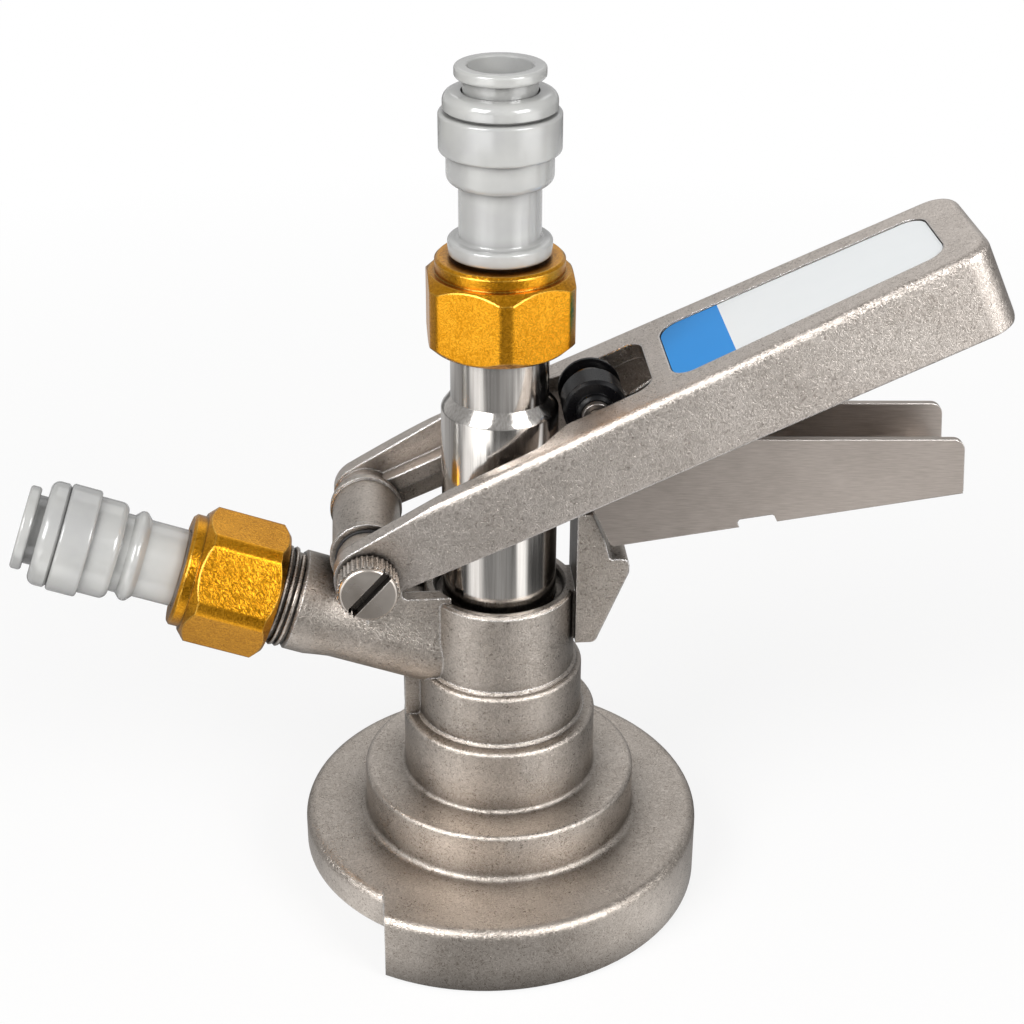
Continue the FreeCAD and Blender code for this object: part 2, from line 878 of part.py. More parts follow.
def probe_tip_seal():
    """Rubber ring at the tip that seals the liquid way."""
    low = probe_tip_z + probe_tip_lip + seat_gap
    high = low + tip_seal_height - 2 * seat_gap
    inner = tip_seal_radius - 2 * probe_tip_lip + seat_gap
    return turned([
        (inner, low, 0),
        (tip_seal_radius, low, small_fillet),
        (tip_seal_radius, high, small_fillet),
        (inner, high, 0),
    ])


def guide_pins():
    """Two headed pins in the probe that run in the lever's cam slots."""
    head_start = rail_half_gap + running_gap
    stub = cross_rod(guide_pin_stub, 0, guide_pin_z, guide_pin_root_y, head_start)
    head = cross_rod(guide_pin_radius, 0, guide_pin_z, head_start, guide_pin_end_y)
    pin = stub.fuse(head)
    return Part.makeCompound([pin, mirrored(pin)])


def check_ball():
    """Steel ball that stops beer running back."""
    return Part.makeSphere(ball_radius, Vector(0, 0, ball_z))


def ball_cage():
    """Flanged cage whose cross bar limits the lift of the ball."""
    outer = ball_chamber_radius - seat_gap
    floor = ball_z + ball_radius + ball_lift + open_gap
    flange_low = probe_face_z - cage_flange_height + seat_gap
    cage = turned([
        (outer - cage_wall, floor, 0),
        (outer, floor, 0),
        (outer, flange_low, 0),
        (cage_flange_radius, flange_low, 0),
        (cage_flange_radius, probe_face_z, 0),
        (outer - cage_wall, probe_face_z, 0),
    ])
    bar = Part.makeBox(2 * outer - cage_wall, cage_bar, cage_bar_height)
    bar.translate(Vector(cage_wall / 2 - outer, -cage_bar / 2, floor))
    return cage.fuse(bar)


def beer_tail_washer():
    """Washer between the probe and the upper fitting."""
    low = probe_face_z + seat_gap
    return tube(bead_flange_radius, through_radius + ring_section, low, low + tail_washer)


def gas_tail_washer():
    """Washer between the gas arm and its fitting."""
    low = arm_face + seat_gap
    return on_arm(tube(bead_flange_radius, through_radius + ring_section, low, low + tail_washer))


# Lever and what rides on it

def lever_side():
    """Side view of the lever as a plate across the whole width."""
    boss_angle = math.atan2(lever_top_v - lever_boss_radius, lever_shoulder_u)
    top_lift = lever_boss_radius / math.cos(boss_angle)
    shank = side_plate([
        (0, top_lift, 0),
        (lever_shoulder_u, lever_top_v, 0),
        (lever_end_u, lever_top_v, 0),
        (lever_end_u, lever_bottom_end_v, grip_low_round),
        (0, lever_bottom_start_v, 0),
    ], -fork_half_width, fork_half_width)
    boss = cross_rod(lever_boss_radius, 0, 0, -fork_half_width, fork_half_width)
    return shank.fuse(boss)


def lever_plan():
    """Plan view of the lever, as high as the lever."""
    low = -2 * lever_boss_radius
    high = 2 * lever_top_v
    return plan_plate([
        (-2 * lever_boss_radius, -fork_half_width, 0),
        (taper_start_u, -fork_half_width, 0),
        (lever_end_u, -grip_half_width, grip_corner_round),
        (lever_end_u, grip_half_width, grip_corner_round),
        (taper_start_u, fork_half_width, 0),
        (-2 * lever_boss_radius, fork_half_width, 0),
    ], low, high)


def lever_half_width(u):
    """Outer half width of the lever at u."""
    share = (u - taper_start_u) / (lever_end_u - taper_start_u)
    return fork_half_width - max(0, share) * (fork_half_width - grip_half_width)


def lever_hollow():
    """Space between the fork's arms and under the roof."""
    inner_end = lever_end_u - lever_wall
    wide = fork_half_width - lever_wall
    shoulder = lever_half_width(slot_neck_start_u) - lever_wall
    narrow = lever_half_width(inner_end) - lever_wall
    low = -2 * lever_boss_radius
    channel = plan_plate([
        (-2 * lever_boss_radius, -wide, 0),
        (taper_start_u, -wide, 0),
        (inner_end, -narrow, grip_corner_round - lever_wall),
        (inner_end, narrow, grip_corner_round - lever_wall),
        (taper_start_u, wide, 0),
        (-2 * lever_boss_radius, wide, 0),
    ], low, lever_top_v - lever_roof)
    slot = plan_plate([
        (-2 * lever_boss_radius, -wide, 0),
        (taper_start_u, -wide, 0),
        (slot_neck_start_u, -shoulder, slot_corner_round),
        (slot_neck_end_u, -slot_half_width, slot_corner_round),
        (slot_end_u, -slot_half_width, slot_corner_round),
        (slot_end_u, slot_half_width, slot_corner_round),
        (slot_neck_end_u, slot_half_width, slot_corner_round),
        (slot_neck_start_u, shoulder, slot_corner_round),
        (taper_start_u, wide, 0),
        (-2 * lever_boss_radius, wide, 0),
    ], low, 2 * lever_top_v)
    return channel.fuse(slot)


def cam_centre(share):
    """Centre of the guide pin in the lever's own frame, after a share of the travel."""
    angle = lever_raise - share * lever_travel
    rise = guide_pin_z - pivot_z - share * probe_stroke
    u = pin_reach * math.cos(angle) + rise * math.sin(angle)
    v = rise * math.cos(angle) - pin_reach * math.sin(angle)
    return Vector(u, 0, v)


def cam_slot(y_low, y_high):
    """Slot whose middle line is the path of a guide pin at an even rate of drop."""
    half_width = guide_pin_radius + open_gap
    steps = 6
    first = cam_centre(0)
    last = cam_centre(1)
    along = first.sub(last).normalize()
    centres = [first.add(along * cam_end_play)]
    centres += [cam_centre(index / steps) for index in range(1, steps)]
    centres += [last.sub(along * cam_end_play)]
    across = Vector(-along.z, 0, along.x) * half_width
    depth = Vector(0, y_low, 0)
    upper = [point.add(across).add(depth) for point in centres]
    lower = [point.sub(across).add(depth) for point in centres]
    upper_curve = Part.BSplineCurve()
    upper_curve.interpolate(upper)
    lower_curve = Part.BSplineCurve()
    lower_curve.interpolate(lower)
    high_tip = centres[0].add(along * half_width).add(depth)
    low_tip = centres[-1].sub(along * half_width).add(depth)
    edges = [
        upper_curve.toShape(),
        Part.Arc(upper[-1], low_tip, lower[-1]).toShape(),
        lower_curve.toShape(),
        Part.Arc(lower[0], high_tip, upper[0]).toShape(),
    ]
    wire = Part.Wire(Part.__sortEdges__(edges))
    return Part.Face(wire).extrude(Vector(0, y_high - y_low, 0))


def lever_inner_side():
    """Pivot boss and cam rail on one arm, towards +Y."""
    arm_inner = fork_half_width - lever_wall
    boss_start = sleeve_half_length + washer_thickness + 3 * seat_gap
    boss = cross_rod(lever_boss_radius - small_fillet, 0, 0, boss_start, arm_inner + seat_gap)
    rail = side_plate([
        (rail_start_u, rail_low_v, 0),
        (cam_plate_start_u, rail_low_v, 0),
        (cam_plate_start_u + cam_plate_rise, -cam_plate_half_height, rail_round),
        (cam_plate_end_u, -cam_plate_half_height, rail_round),
        (cam_plate_end_u, cam_plate_half_height, rail_round),
        (cam_plate_start_u + cam_plate_rise, cam_plate_half_height, rail_round),
        (cam_plate_start_u, rail_high_v, 0),
        (rail_start_u, rail_high_v, 0),
    ], rail_half_gap, arm_inner + seat_gap)
    return boss.fuse(rail)


def label_corners(shrink):
    """Outline of the label seat in plan."""
    return [
        (label_start_u + shrink, -label_start_half_width + shrink, label_corner),
        (label_end_u - shrink, -label_end_half_width + shrink, label_corner),
        (label_end_u - shrink, label_end_half_width - shrink, label_corner),
        (label_start_u + shrink, label_start_half_width - shrink, label_corner),
    ]


def lever_outer_edges(shape):
    """Edges round the top of the lever that a hand feels."""
    found = []
    for edge in shape.Edges:
        box = edge.BoundBox
        on_top = box.ZMin > lever_top_v - seat_gap and box.XMax > lever_shoulder_u + seat_gap
        crosswise = box.XMax - box.XMin < seat_gap and box.XMax < lever_end_u - seat_gap
        if on_top and not crosswise:
            found.append(edge)
    return found


def handle_lever():
    """Cast lever: fork with cam slots, hollow grip and label seat."""
    blank = lever_side().common(lever_plan())
    blank = blank.makeFillet(lever_edge_round, lever_outer_edges(blank))
    shell = blank.cut(lever_hollow())
    inner = lever_inner_side()
    shell = shell.fuse([inner, mirrored(inner)])
    far_y = 2 * fork_half_width
    screw_hole = cross_rod(pin_radius + running_gap, 0, 0, -far_y, far_y)
    axle_radius = trigger_pin_radius + seat_gap
    axle_hole = cross_rod(axle_radius, trigger_u, trigger_v, -trigger_pin_end_y - seat_gap, far_y)
    cam = cam_slot(rail_half_gap - seat_gap, guide_pin_end_y + open_gap)
    seat = plan_plate(label_corners(0), lever_top_v - label_recess, 2 * lever_top_v)
    return raised(shell.cut(screw_hole.fuse([axle_hole, cam, mirrored(cam), seat])))


def label_plate():
    """Thin two-colour plate in the label seat."""
    low = lever_top_v - label_recess + seat_gap / 2
    return raised(plan_plate(label_corners(2 * running_gap), low, low + label_thickness))


def pivot_screw():
    """Slotted screw with a knurled head, through both arms and the sleeve."""
    face = fork_half_width + seat_gap
    head = turned([
        (0, face, 0),
        (screw_head_radius, face, small_fillet),
        (screw_head_radius, face + screw_head_length, screw_head_chamfer),
        (0, face + screw_head_length, 0),
    ])
    slot = Part.makeBox(4 * screw_head_radius, screw_slot_width, screw_slot_depth)
    slot.translate(Vector(-2 * screw_head_radius, -screw_slot_width / 2, 0))
    slot.translate(Vector(0, 0, face + screw_head_length - screw_slot_depth))
    slot.rotate(Vector(0, 0, 0), Vector(0, 0, 1), screw_slot_turn_deg)
    shank = rod(pin_radius, -fork_half_width, face)
    screw = head.cut(slot).fuse(shank)
    screw.rotate(Vector(0, 0, 0), Vector(1, 0, 0), 90)
    screw.translate(Vector(pivot_x, 0, pivot_z))
    return screw


def pivot_washers():
    """Thrust washers between the sleeve and the lever's bosses."""
    low = sleeve_half_length + seat_gap
    washer = tube(sleeve_radius - small_fillet, bush_bore, low, low + washer_thickness)
    washer.rotate(Vector(0, 0, 0), Vector(1, 0, 0), 90)
    washer.translate(Vector(pivot_x, 0, pivot_z))
    return Part.makeCompound([washer, mirrored(washer)])


def trigger_axle():
    """Pin across the lever that carries the trigger and the spool."""
    return raised(cross_rod(trigger_pin_radius, trigger_u, trigger_v, -trigger_pin_end_y, trigger_pin_end_y))


def at_trigger_axle(shape):
    """Moves a shape turned about Z to the trigger's axle."""
    moved = shape.copy()
    moved.rotate(Vector(0, 0, 0), Vector(1, 0, 0), 90)
    moved.translate(Vector(trigger_u, 0, trigger_v))
    return raised(moved)


def spring_spool():
    """Moulded spool that carries the trigger spring."""
    bore = trigger_pin_radius + seat_gap
    return at_trigger_axle(turned([
        (bore, -spool_hub_y, 0),
        (spool_hub_radius, -spool_hub_y, 0),
        (spool_hub_radius, -spool_end_y, 0),
        (spool_radius, -spool_end_y, small_fillet),
        (spool_radius, -spool_groove_high_y, 0),
        (spool_drum_radius, -spool_groove_high_y, 0),
        (spool_drum_radius, -spool_groove_low_y, 0),
        (spool_radius, -spool_groove_low_y, 0),
        (spool_radius, spool_end_y, small_fillet),
        (spool_hub_radius, spool_end_y, 0),
        (spool_hub_radius, spool_hub_y, small_fillet),
        (bore, spool_hub_y, 0),
    ]))


def wire_section(centre, ahead):
    """Corners of the spring wire's section, many-sided to keep the coil light."""
    upright = Vector(0, 0, 1)
    sideways = ahead.cross(upright).normalize()
    corners = []
    for index in range(wire_sides + 1):
        angle = 2 * math.pi * index / wire_sides
        offset = sideways * math.cos(angle) + upright * math.sin(angle)
        corners.append(centre.add(offset * spring_wire))
    return corners


def trigger_spring():
    """Torsion spring on the spool: one leg on the trigger's tab, one on the lever's roof."""
    coil_radius = spool_drum_radius + spring_wire + running_gap
    pitch = 2 * spring_wire + seat_gap
    start_deg = spring_tab_leg_deg + 90
    end_deg = spring_roof_leg_deg - 90
    length = pitch * (spring_turns + (end_deg - start_deg) / 360)
    coil = Part.makeHelix(pitch, length, coil_radius)
    first = coil.Edges[0]
    last = coil.Edges[-1]
    start = first.valueAt(first.FirstParameter)
    end = last.valueAt(last.LastParameter)
    ahead = first.tangentAt(first.FirstParameter)
    tab_end = start.sub(ahead * spring_tab_leg)
    roof_end = end.add(last.tangentAt(last.LastParameter) * spring_roof_leg)
    path = [Part.makeLine(tab_end, start)] + coil.Edges + [Part.makeLine(end, roof_end)]
    profile = Part.makePolygon(wire_section(tab_end, ahead))
    wire = Part.Wire(path).makePipeShell([profile], True, False)
    wire.rotate(Vector(0, 0, 0), Vector(0, 0, 1), start_deg)
    groove_middle = (spool_groove_low_y + spool_groove_high_y) / 2
    wire.translate(Vector(0, 0, -groove_middle - length / 2))
    return at_trigger_axle(wire)


# Trigger

def trigger_bottom_v(u):
    """Lower edge of the trigger at u."""
    share = (u - trigger_front_u) / (trigger_tail_u - trigger_front_u)
    return trigger_front_v + share * (trigger_tail_v - trigger_front_v)


def trigger_plate():
    """Side plate of the trigger, towards +Y, with its pivot ear."""
    inner = trigger_half_width - trigger_sheet
    plate = side_plate([
        (trigger_front_u, trigger_front_v, small_fillet),
        (notch_start_u, trigger_bottom_v(notch_start_u), 0),
        (notch_start_u, trigger_bottom_v(notch_start_u) + notch_depth, small_fillet),
        (notch_end_u, trigger_bottom_v(notch_end_u) + notch_depth, small_fillet),
        (notch_end_u, trigger_bottom_v(notch_end_u), 0),
        (trigger_tail_u, trigger_tail_v, small_fillet),
        (trigger_tip_u, trigger_tip_v, trigger_tip_round),
        (trigger_heel_u, trigger_heel_v, trigger_heel_round),
        (trigger_u + trigger_ear_radius, trigger_v, 0),
        (trigger_u - trigger_ear_radius, trigger_v, 0),
        (trigger_front_u, trigger_heel_v, trigger_heel_round),
    ], inner, trigger_half_width)
    ear = cross_rod(trigger_ear_radius, trigger_u, trigger_v, inner, trigger_half_width)
    return plate.fuse(ear)


def trigger_web():
    """Web along the lower edge that joins both plates."""
    start_v = trigger_bottom_v(trigger_web_start_u)
    web = side_plate([
        (trigger_web_start_u, start_v, 0),
        (trigger_tail_u, trigger_tail_v, 0),
        (trigger_tail_u, trigger_tail_v + trigger_sheet, 0),
        (trigger_web_start_u, start_v + trigger_sheet, 0),
    ], -trigger_half_width, trigger_half_width)
    inner = trigger_half_width - trigger_sheet
    window = plan_plate([
        (notch_start_u, -trigger_half_width, 0),
        (notch_end_u, -trigger_half_width, 0),
        (notch_end_u, trigger_half_width, 0),
        (notch_start_u, trigger_half_width, 0),
    ], trigger_tail_v, 0)
    slope = math.atan2(trigger_front_v - trigger_tail_v, trigger_tail_u - trigger_front_u)
    keep = side_plate([
        (notch_start_u, trigger_bottom_v(notch_start_u), 0),
        (notch_end_u, trigger_bottom_v(notch_end_u), 0),
        (notch_end_u, trigger_bottom_v(notch_end_u) + trigger_sheet, 0),
        (notch_start_u, trigger_bottom_v(notch_start_u) + trigger_sheet, 0),
    ], -inner - trigger_sheet / 2, inner + trigger_sheet / 2)
    keep.translate(Vector(math.sin(slope), 0, math.cos(slope)) * (notch_depth - small_fillet))
    return web.cut(window).fuse(keep)


def spring_tab():
    """Small bent tab on the far plate that the spring's lower leg presses."""
    inner = trigger_half_width - trigger_sheet
    return side_plate([
        (spring_tab_u - trigger_sheet, spring_tab_v - trigger_sheet, 0),
        (spring_tab_u + trigger_sheet, spring_tab_v - trigger_sheet, 0),
        (spring_tab_u + trigger_sheet, spring_tab_v, 0),
        (spring_tab_u - trigger_sheet, spring_tab_v, 0),
    ], inner - spring_tab_length, inner + seat_gap)


def trigger_channel():
    """Bent sheet trigger, with holes for its axle and its catch bar."""
    plate = trigger_plate()
    channel = plate.fuse([mirrored(plate), trigger_web(), spring_tab()])
    axle_hole = trigger_pin_radius + running_gap
    reach = 2 * trigger_half_width
    holes = cross_rod(axle_hole, trigger_u, trigger_v, -reach, reach)
    seat = catch_bar_end() + seat_gap
    bar_hole = cross_rod(catch_bar_radius + seat_gap, catch_bar_u, catch_bar_v, -seat, seat)
    return raised(channel.cut(holes.fuse(bar_hole)))


def catch_bar_end():
    """Half length of the catch bar, whose ends sit in blind holes."""
    return trigger_half_width - trigger_sheet + catch_bar_seat


def catch_bar():
    """Bar between the trigger's plates that meets the nose of the catch post."""
    end = catch_bar_end()
    return raised(cross_rod(catch_bar_radius, catch_bar_u, catch_bar_v, -end, end))


def build():
    """Builds and writes every node."""
    os.makedirs("parts", exist_ok=True)
    save("coupler_body", coupler_body())
    save("neck_seal", neck_seal())
    save("pivot_bushes", pivot_bushes())
    save("gas_check_valve", gas_check_valve())
    save("gas_tail_washer", gas_tail_washer())

    beer_nut = union_nut(beer_nut_flats, beer_nut_hex, beer_nut_collar_radius, beer_nut_collar, beer_nut_turn_deg)
    beer_nut.translate(Vector(0, 0, beer_nut_bottom_z))
    save("beer_union_nut", beer_nut)
    gas_nut = union_nut(gas_nut_flats, gas_nut_hex, gas_nut_collar_radius, gas_nut_collar, gas_nut_turn_deg)
    gas_nut.translate(Vector(0, 0, gas_nut_start))
    save("gas_union_nut", on_arm(gas_nut))

    beer_tail = probe_face_z + tail_washer + 2 * seat_gap - collet_face_z
    gas_tail = arm_face + tail_washer + 2 * seat_gap - gas_collet_face
    save("beer_fitting_body", at_beer_face(fitting_body(beer_outside(), beer_tail)))
    save("gas_fitting_body", at_gas_face(fitting_body(gas_outside(), gas_tail)))
    beer_cap = fitting_cap(beer_cap_radius, -beer_cap_top, -beer_ring_start)
    gas_cap = fitting_cap(gas_cap_radius, -gas_cap_top, -gas_ring_start)
    save("beer_fitting_cap", at_beer_face(beer_cap))
    save("gas_fitting_cap", at_gas_face(gas_cap))
    save("beer_fitting_collet", at_beer_face(fitting_collet()))
    save("gas_fitting_collet", at_gas_face(fitting_collet()))
    save("beer_grab_ring", at_beer_face(grab_ring()))
    save("gas_grab_ring", at_gas_face(grab_ring()))
    save("beer_o_ring", at_beer_face(fitting_o_ring()))
    save("gas_o_ring", at_gas_face(fitting_o_ring()))

    save("probe_tube", probe_tube())
    save("probe_o_rings", probe_o_rings())
    save("probe_tip_seal", probe_tip_seal())
    save("guide_pins", guide_pins())
    save("check_ball", check_ball())
    save("ball_cage", ball_cage())
    save("beer_tail_washer", beer_tail_washer())

    save("handle_lever", handle_lever())
    save("label_plate", label_plate())
    save("pivot_screw", pivot_screw())
    save("pivot_washers", pivot_washers())
    save("trigger_axle", trigger_axle())
    save("spring_spool", spring_spool())
    save("trigger_spring", trigger_spring())
    save("trigger_channel", trigger_channel())
    save("catch_bar", catch_bar())


build()
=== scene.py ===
import logging
import math
from dataclasses import dataclass, field
from enum import Enum

import bpy
from mathutils import Matrix, Vector


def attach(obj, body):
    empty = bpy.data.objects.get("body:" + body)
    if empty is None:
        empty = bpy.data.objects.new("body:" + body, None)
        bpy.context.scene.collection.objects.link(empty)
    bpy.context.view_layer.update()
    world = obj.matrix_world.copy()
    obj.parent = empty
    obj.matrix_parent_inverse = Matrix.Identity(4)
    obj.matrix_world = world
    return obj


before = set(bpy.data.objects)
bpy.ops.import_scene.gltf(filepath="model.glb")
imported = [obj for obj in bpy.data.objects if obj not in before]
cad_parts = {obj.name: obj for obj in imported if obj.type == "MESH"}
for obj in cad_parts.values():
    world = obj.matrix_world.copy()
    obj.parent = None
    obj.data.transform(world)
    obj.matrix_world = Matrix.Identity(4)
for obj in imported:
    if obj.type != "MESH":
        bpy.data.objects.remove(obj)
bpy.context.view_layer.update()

log = logging.getLogger("keg_coupler")
MM = 0.001
WHITE = (1.0, 1.0, 1.0, 1.0)
PIT_TONE = "#3c3733"
# Painted shade: the near-black that creases of metals and of plastics turn to.
SOOT_TONE = "#14110f"
DIRT_TONE = "#0c0c0c"

# Sockets of a Mix node go by number, because its data types share their names.
SHARE = 0
NUMBER_A, NUMBER_B, NUMBER_OUT = 2, 3, 0
COLOUR_A, COLOUR_B, COLOUR_OUT = 6, 7, 2

# Noise seldom leaves its middle, so each span is the part of it that fills a pattern's whole range.
GRAIN_SPAN = {"From Min": 0.38, "From Max": 0.62}
PIT_SPAN = {"From Min": 0.42, "From Max": 0.33}
MOTTLE_SPAN = {"From Min": 0.35, "From Max": 0.65}
FINE_SPAN = {"From Min": 0.3, "From Max": 0.7}
# From the deepest crease to a free face, and from a flat face to a sharp edge, as a cosine.
OPEN_SPAN = {"From Min": 0.35, "From Max": 0.95}
EDGE_SPAN = {"From Min": 0.995, "From Max": 0.80}
# What rubbing takes off an edge's roughness, and the rays that look for edges and creases.
EDGE_SMOOTHING = -0.25
RAY_SAMPLES = 4

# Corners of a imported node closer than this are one, and sharper turns than this stay sharp.
MERGE_MM = 0.002
CREASE_DEG = 32


def linear(hex_colour: str) -> tuple[float, float, float, float]:
    """Turns an sRGB hex colour to linear light.

    Args:
        hex_colour: colour such as "#c8c0b8".

    Returns:
        Red, green, blue and alpha, each from 0 to 1.
    """
    parts = [int(hex_colour[i:i + 2], 16) / 255 for i in (1, 3, 5)]
    lin = [p / 12.92 if p <= 0.04045 else ((p + 0.055) / 1.055) ** 2.4 for p in parts]
    return (lin[0], lin[1], lin[2], 1.0)


def grey(level: float) -> tuple[float, float, float, float]:
    """A grey of one brightness, as a colour."""
    return (level, level, level, 1.0)


def add_node(tree: bpy.types.NodeTree, kind: str, inputs: dict | None = None,
             **settings) -> bpy.types.Node:
    """Adds one node.

    Args:
        tree: node tree that gets the node.
        kind: the node's type.
        inputs: input name or number to a value, or to a socket that is linked to it.
        settings: the node's own settings.

    Returns:
        The new node.
    """
    node = tree.nodes.new(kind)
    for key, value in settings.items():
        setattr(node, key, value)
    for key, value in (inputs or {}).items():
        socket = node.inputs[key]
        if isinstance(value, bpy.types.NodeSocket):
            tree.links.new(value, socket)
        else:
            socket.default_value = value
    return node


def new_material(name: str) -> tuple[bpy.types.Material, bpy.types.NodeTree]:
    """Starts a material with no nodes.

    Args:
        name: name of the finish.

    Returns:
        The material and its tree.
    """
    material = bpy.data.materials.new(name)
    material.use_nodes = True
    material.node_tree.nodes.clear()
    return material, material.node_tree


def openness(tree: bpy.types.NodeTree, reach_mm: float, deepest: float) -> bpy.types.NodeSocket:
    """How open a spot is: 1 on a free face, down to deepest in a crease, which sets the painted
    shade in creases and corners.

    Args:
        tree: tree of the material.
        reach_mm: how far a neighbouring face still counts, in mm.
        deepest: value in the closest crease.

    Returns:
        The socket.
    """
    around = add_node(tree, "ShaderNodeAmbientOcclusion", {
        "Distance": reach_mm * MM}, samples=RAY_SAMPLES)
    return add_node(tree, "ShaderNodeMapRange", {
        "Value": around.outputs["AO"], **OPEN_SPAN,
        "To Min": deepest, "To Max": 1.0}).outputs["Result"]


class Lay(Enum):
    """Which way the marks of the tool run on a metal, as a stretch of the grain along each axis."""

    NONE = (1.0, 1.0, 1.0)
    ALONG_Z = (1.0, 1.0, 0.02)
    RINGS_ABOUT_Y = (0.03, 1.0, 0.03)
    ALONG_X = (0.05, 1.0, 1.0)


@dataclass(frozen=True)
class MetalFinish:
    """A bare metal: two tones, a grain with a depth, edges worn bright with a painted highlight,
    and painted shade in its creases.
    """

    name: str
    light: str
    dark: str
    roughness: tuple[float, float]
    grain_mm: float
    grain_depth_mm: float
    mottle_mm: float = 9.0
    mottle_share: float = 0.25
    curl: float = 0.0
    lay: Lay = Lay.NONE
    turn_deg: float = 0.0
    # Edges take a painted highlight that is partly real rubbed wear; creases take painted shade.
    edge_mm: float = 0.35
    edge_gain: float = 0.5
    edge_tone: str = "#f4f2ef"
    pits: float = 0.0
    crease_mm: float = 5.0
    crease_floor: float = 0.35

    def material(self) -> bpy.types.Material:
        """Builds the node material.

        Returns:
            The finished material.
        """
        material, tree = new_material(self.name)
        place = add_node(tree, "ShaderNodeTexCoord").outputs["Object"]
        turned = add_node(tree, "ShaderNodeMapping", {
            "Vector": place, "Rotation": (0, math.radians(self.turn_deg), 0)})
        along = add_node(tree, "ShaderNodeMapping", {
            "Vector": turned.outputs["Vector"], "Scale": self.lay.value})
        grain = add_node(tree, "ShaderNodeTexNoise", {
            "Vector": along.outputs["Vector"], "Scale": 1 / (self.grain_mm * MM),
            "Detail": 3.0, "Roughness": 0.6, "Distortion": self.curl}).outputs["Fac"]
        mottle = add_node(tree, "ShaderNodeTexNoise", {
            "Vector": place, "Scale": 1 / (self.mottle_mm * MM), "Detail": 4.0, "Roughness": 0.55})
        blend = add_node(tree, "ShaderNodeMix", {
            SHARE: self.mottle_share, NUMBER_A: grain,
            NUMBER_B: mottle.outputs["Fac"]}).outputs[NUMBER_OUT]
        tone = add_node(tree, "ShaderNodeMapRange", {"Value": blend, **GRAIN_SPAN})
        colour = add_node(tree, "ShaderNodeMix", {
            SHARE: tone.outputs["Result"], COLOUR_A: linear(self.dark),
            COLOUR_B: linear(self.light)}, data_type="RGBA")
        pit = add_node(tree, "ShaderNodeMapRange", {
            "Value": grain, **PIT_SPAN, "To Min": 0.0, "To Max": self.pits})
        pitted = add_node(tree, "ShaderNodeMix", {
            SHARE: pit.outputs["Result"], COLOUR_A: colour.outputs[COLOUR_OUT],
            COLOUR_B: linear(PIT_TONE)}, data_type="RGBA")
        open_face = openness(tree, self.crease_mm, self.crease_floor)
        rounded = add_node(tree, "ShaderNodeBevel", {
            "Radius": self.edge_mm * MM}, samples=RAY_SAMPLES).outputs["Normal"]
        flat = add_node(tree, "ShaderNodeNewGeometry").outputs["Normal"]
        facing = add_node(tree, "ShaderNodeVectorMath", {
            0: rounded, 1: flat}, operation="DOT_PRODUCT")
        # Painted highlight, partly real rubbed wear: edges turn towards a pale tone and get
        # smoother.
        edge = add_node(tree, "ShaderNodeMapRange", {
            "Value": facing.outputs["Value"], **EDGE_SPAN, "To Min": 0.0, "To Max": self.edge_gain})
        rubbed = add_node(tree, "ShaderNodeMath", {
            0: edge.outputs["Result"], 1: open_face}, operation="MULTIPLY").outputs[0]
        worn = add_node(tree, "ShaderNodeMix", {
            SHARE: rubbed, COLOUR_A: pitted.outputs[COLOUR_OUT],
            COLOUR_B: linear(self.edge_tone)}, data_type="RGBA")
        # Painted shade: creases and corners darken towards a near-black tone.
        sooted = add_node(tree, "ShaderNodeMix", {
            SHARE: open_face, COLOUR_A: linear(SOOT_TONE),
            COLOUR_B: worn.outputs[COLOUR_OUT]}, data_type="RGBA")
        rough = add_node(tree, "ShaderNodeMapRange", {
            "Value": blend, **GRAIN_SPAN, "To Min": self.roughness[0], "To Max": self.roughness[1]})
        smooth_edge = add_node(tree, "ShaderNodeMath", {
            0: rubbed, 1: EDGE_SMOOTHING, 2: rough.outputs["Result"]}, operation="MULTIPLY_ADD")
        bump = add_node(tree, "ShaderNodeBump", {
            "Height": grain, "Distance": self.grain_depth_mm * MM,
            "Strength": 1.0, "Normal": rounded})
        surface = add_node(tree, "ShaderNodeBsdfPrincipled", {
            "Base Color": sooted.outputs[COLOUR_OUT], "Metallic": 1.0,
            "Roughness": smooth_edge.outputs[0], "Normal": bump.outputs["Normal"]})
        add_node(tree, "ShaderNodeOutputMaterial", {"Surface": surface.outputs["BSDF"]})
        return material


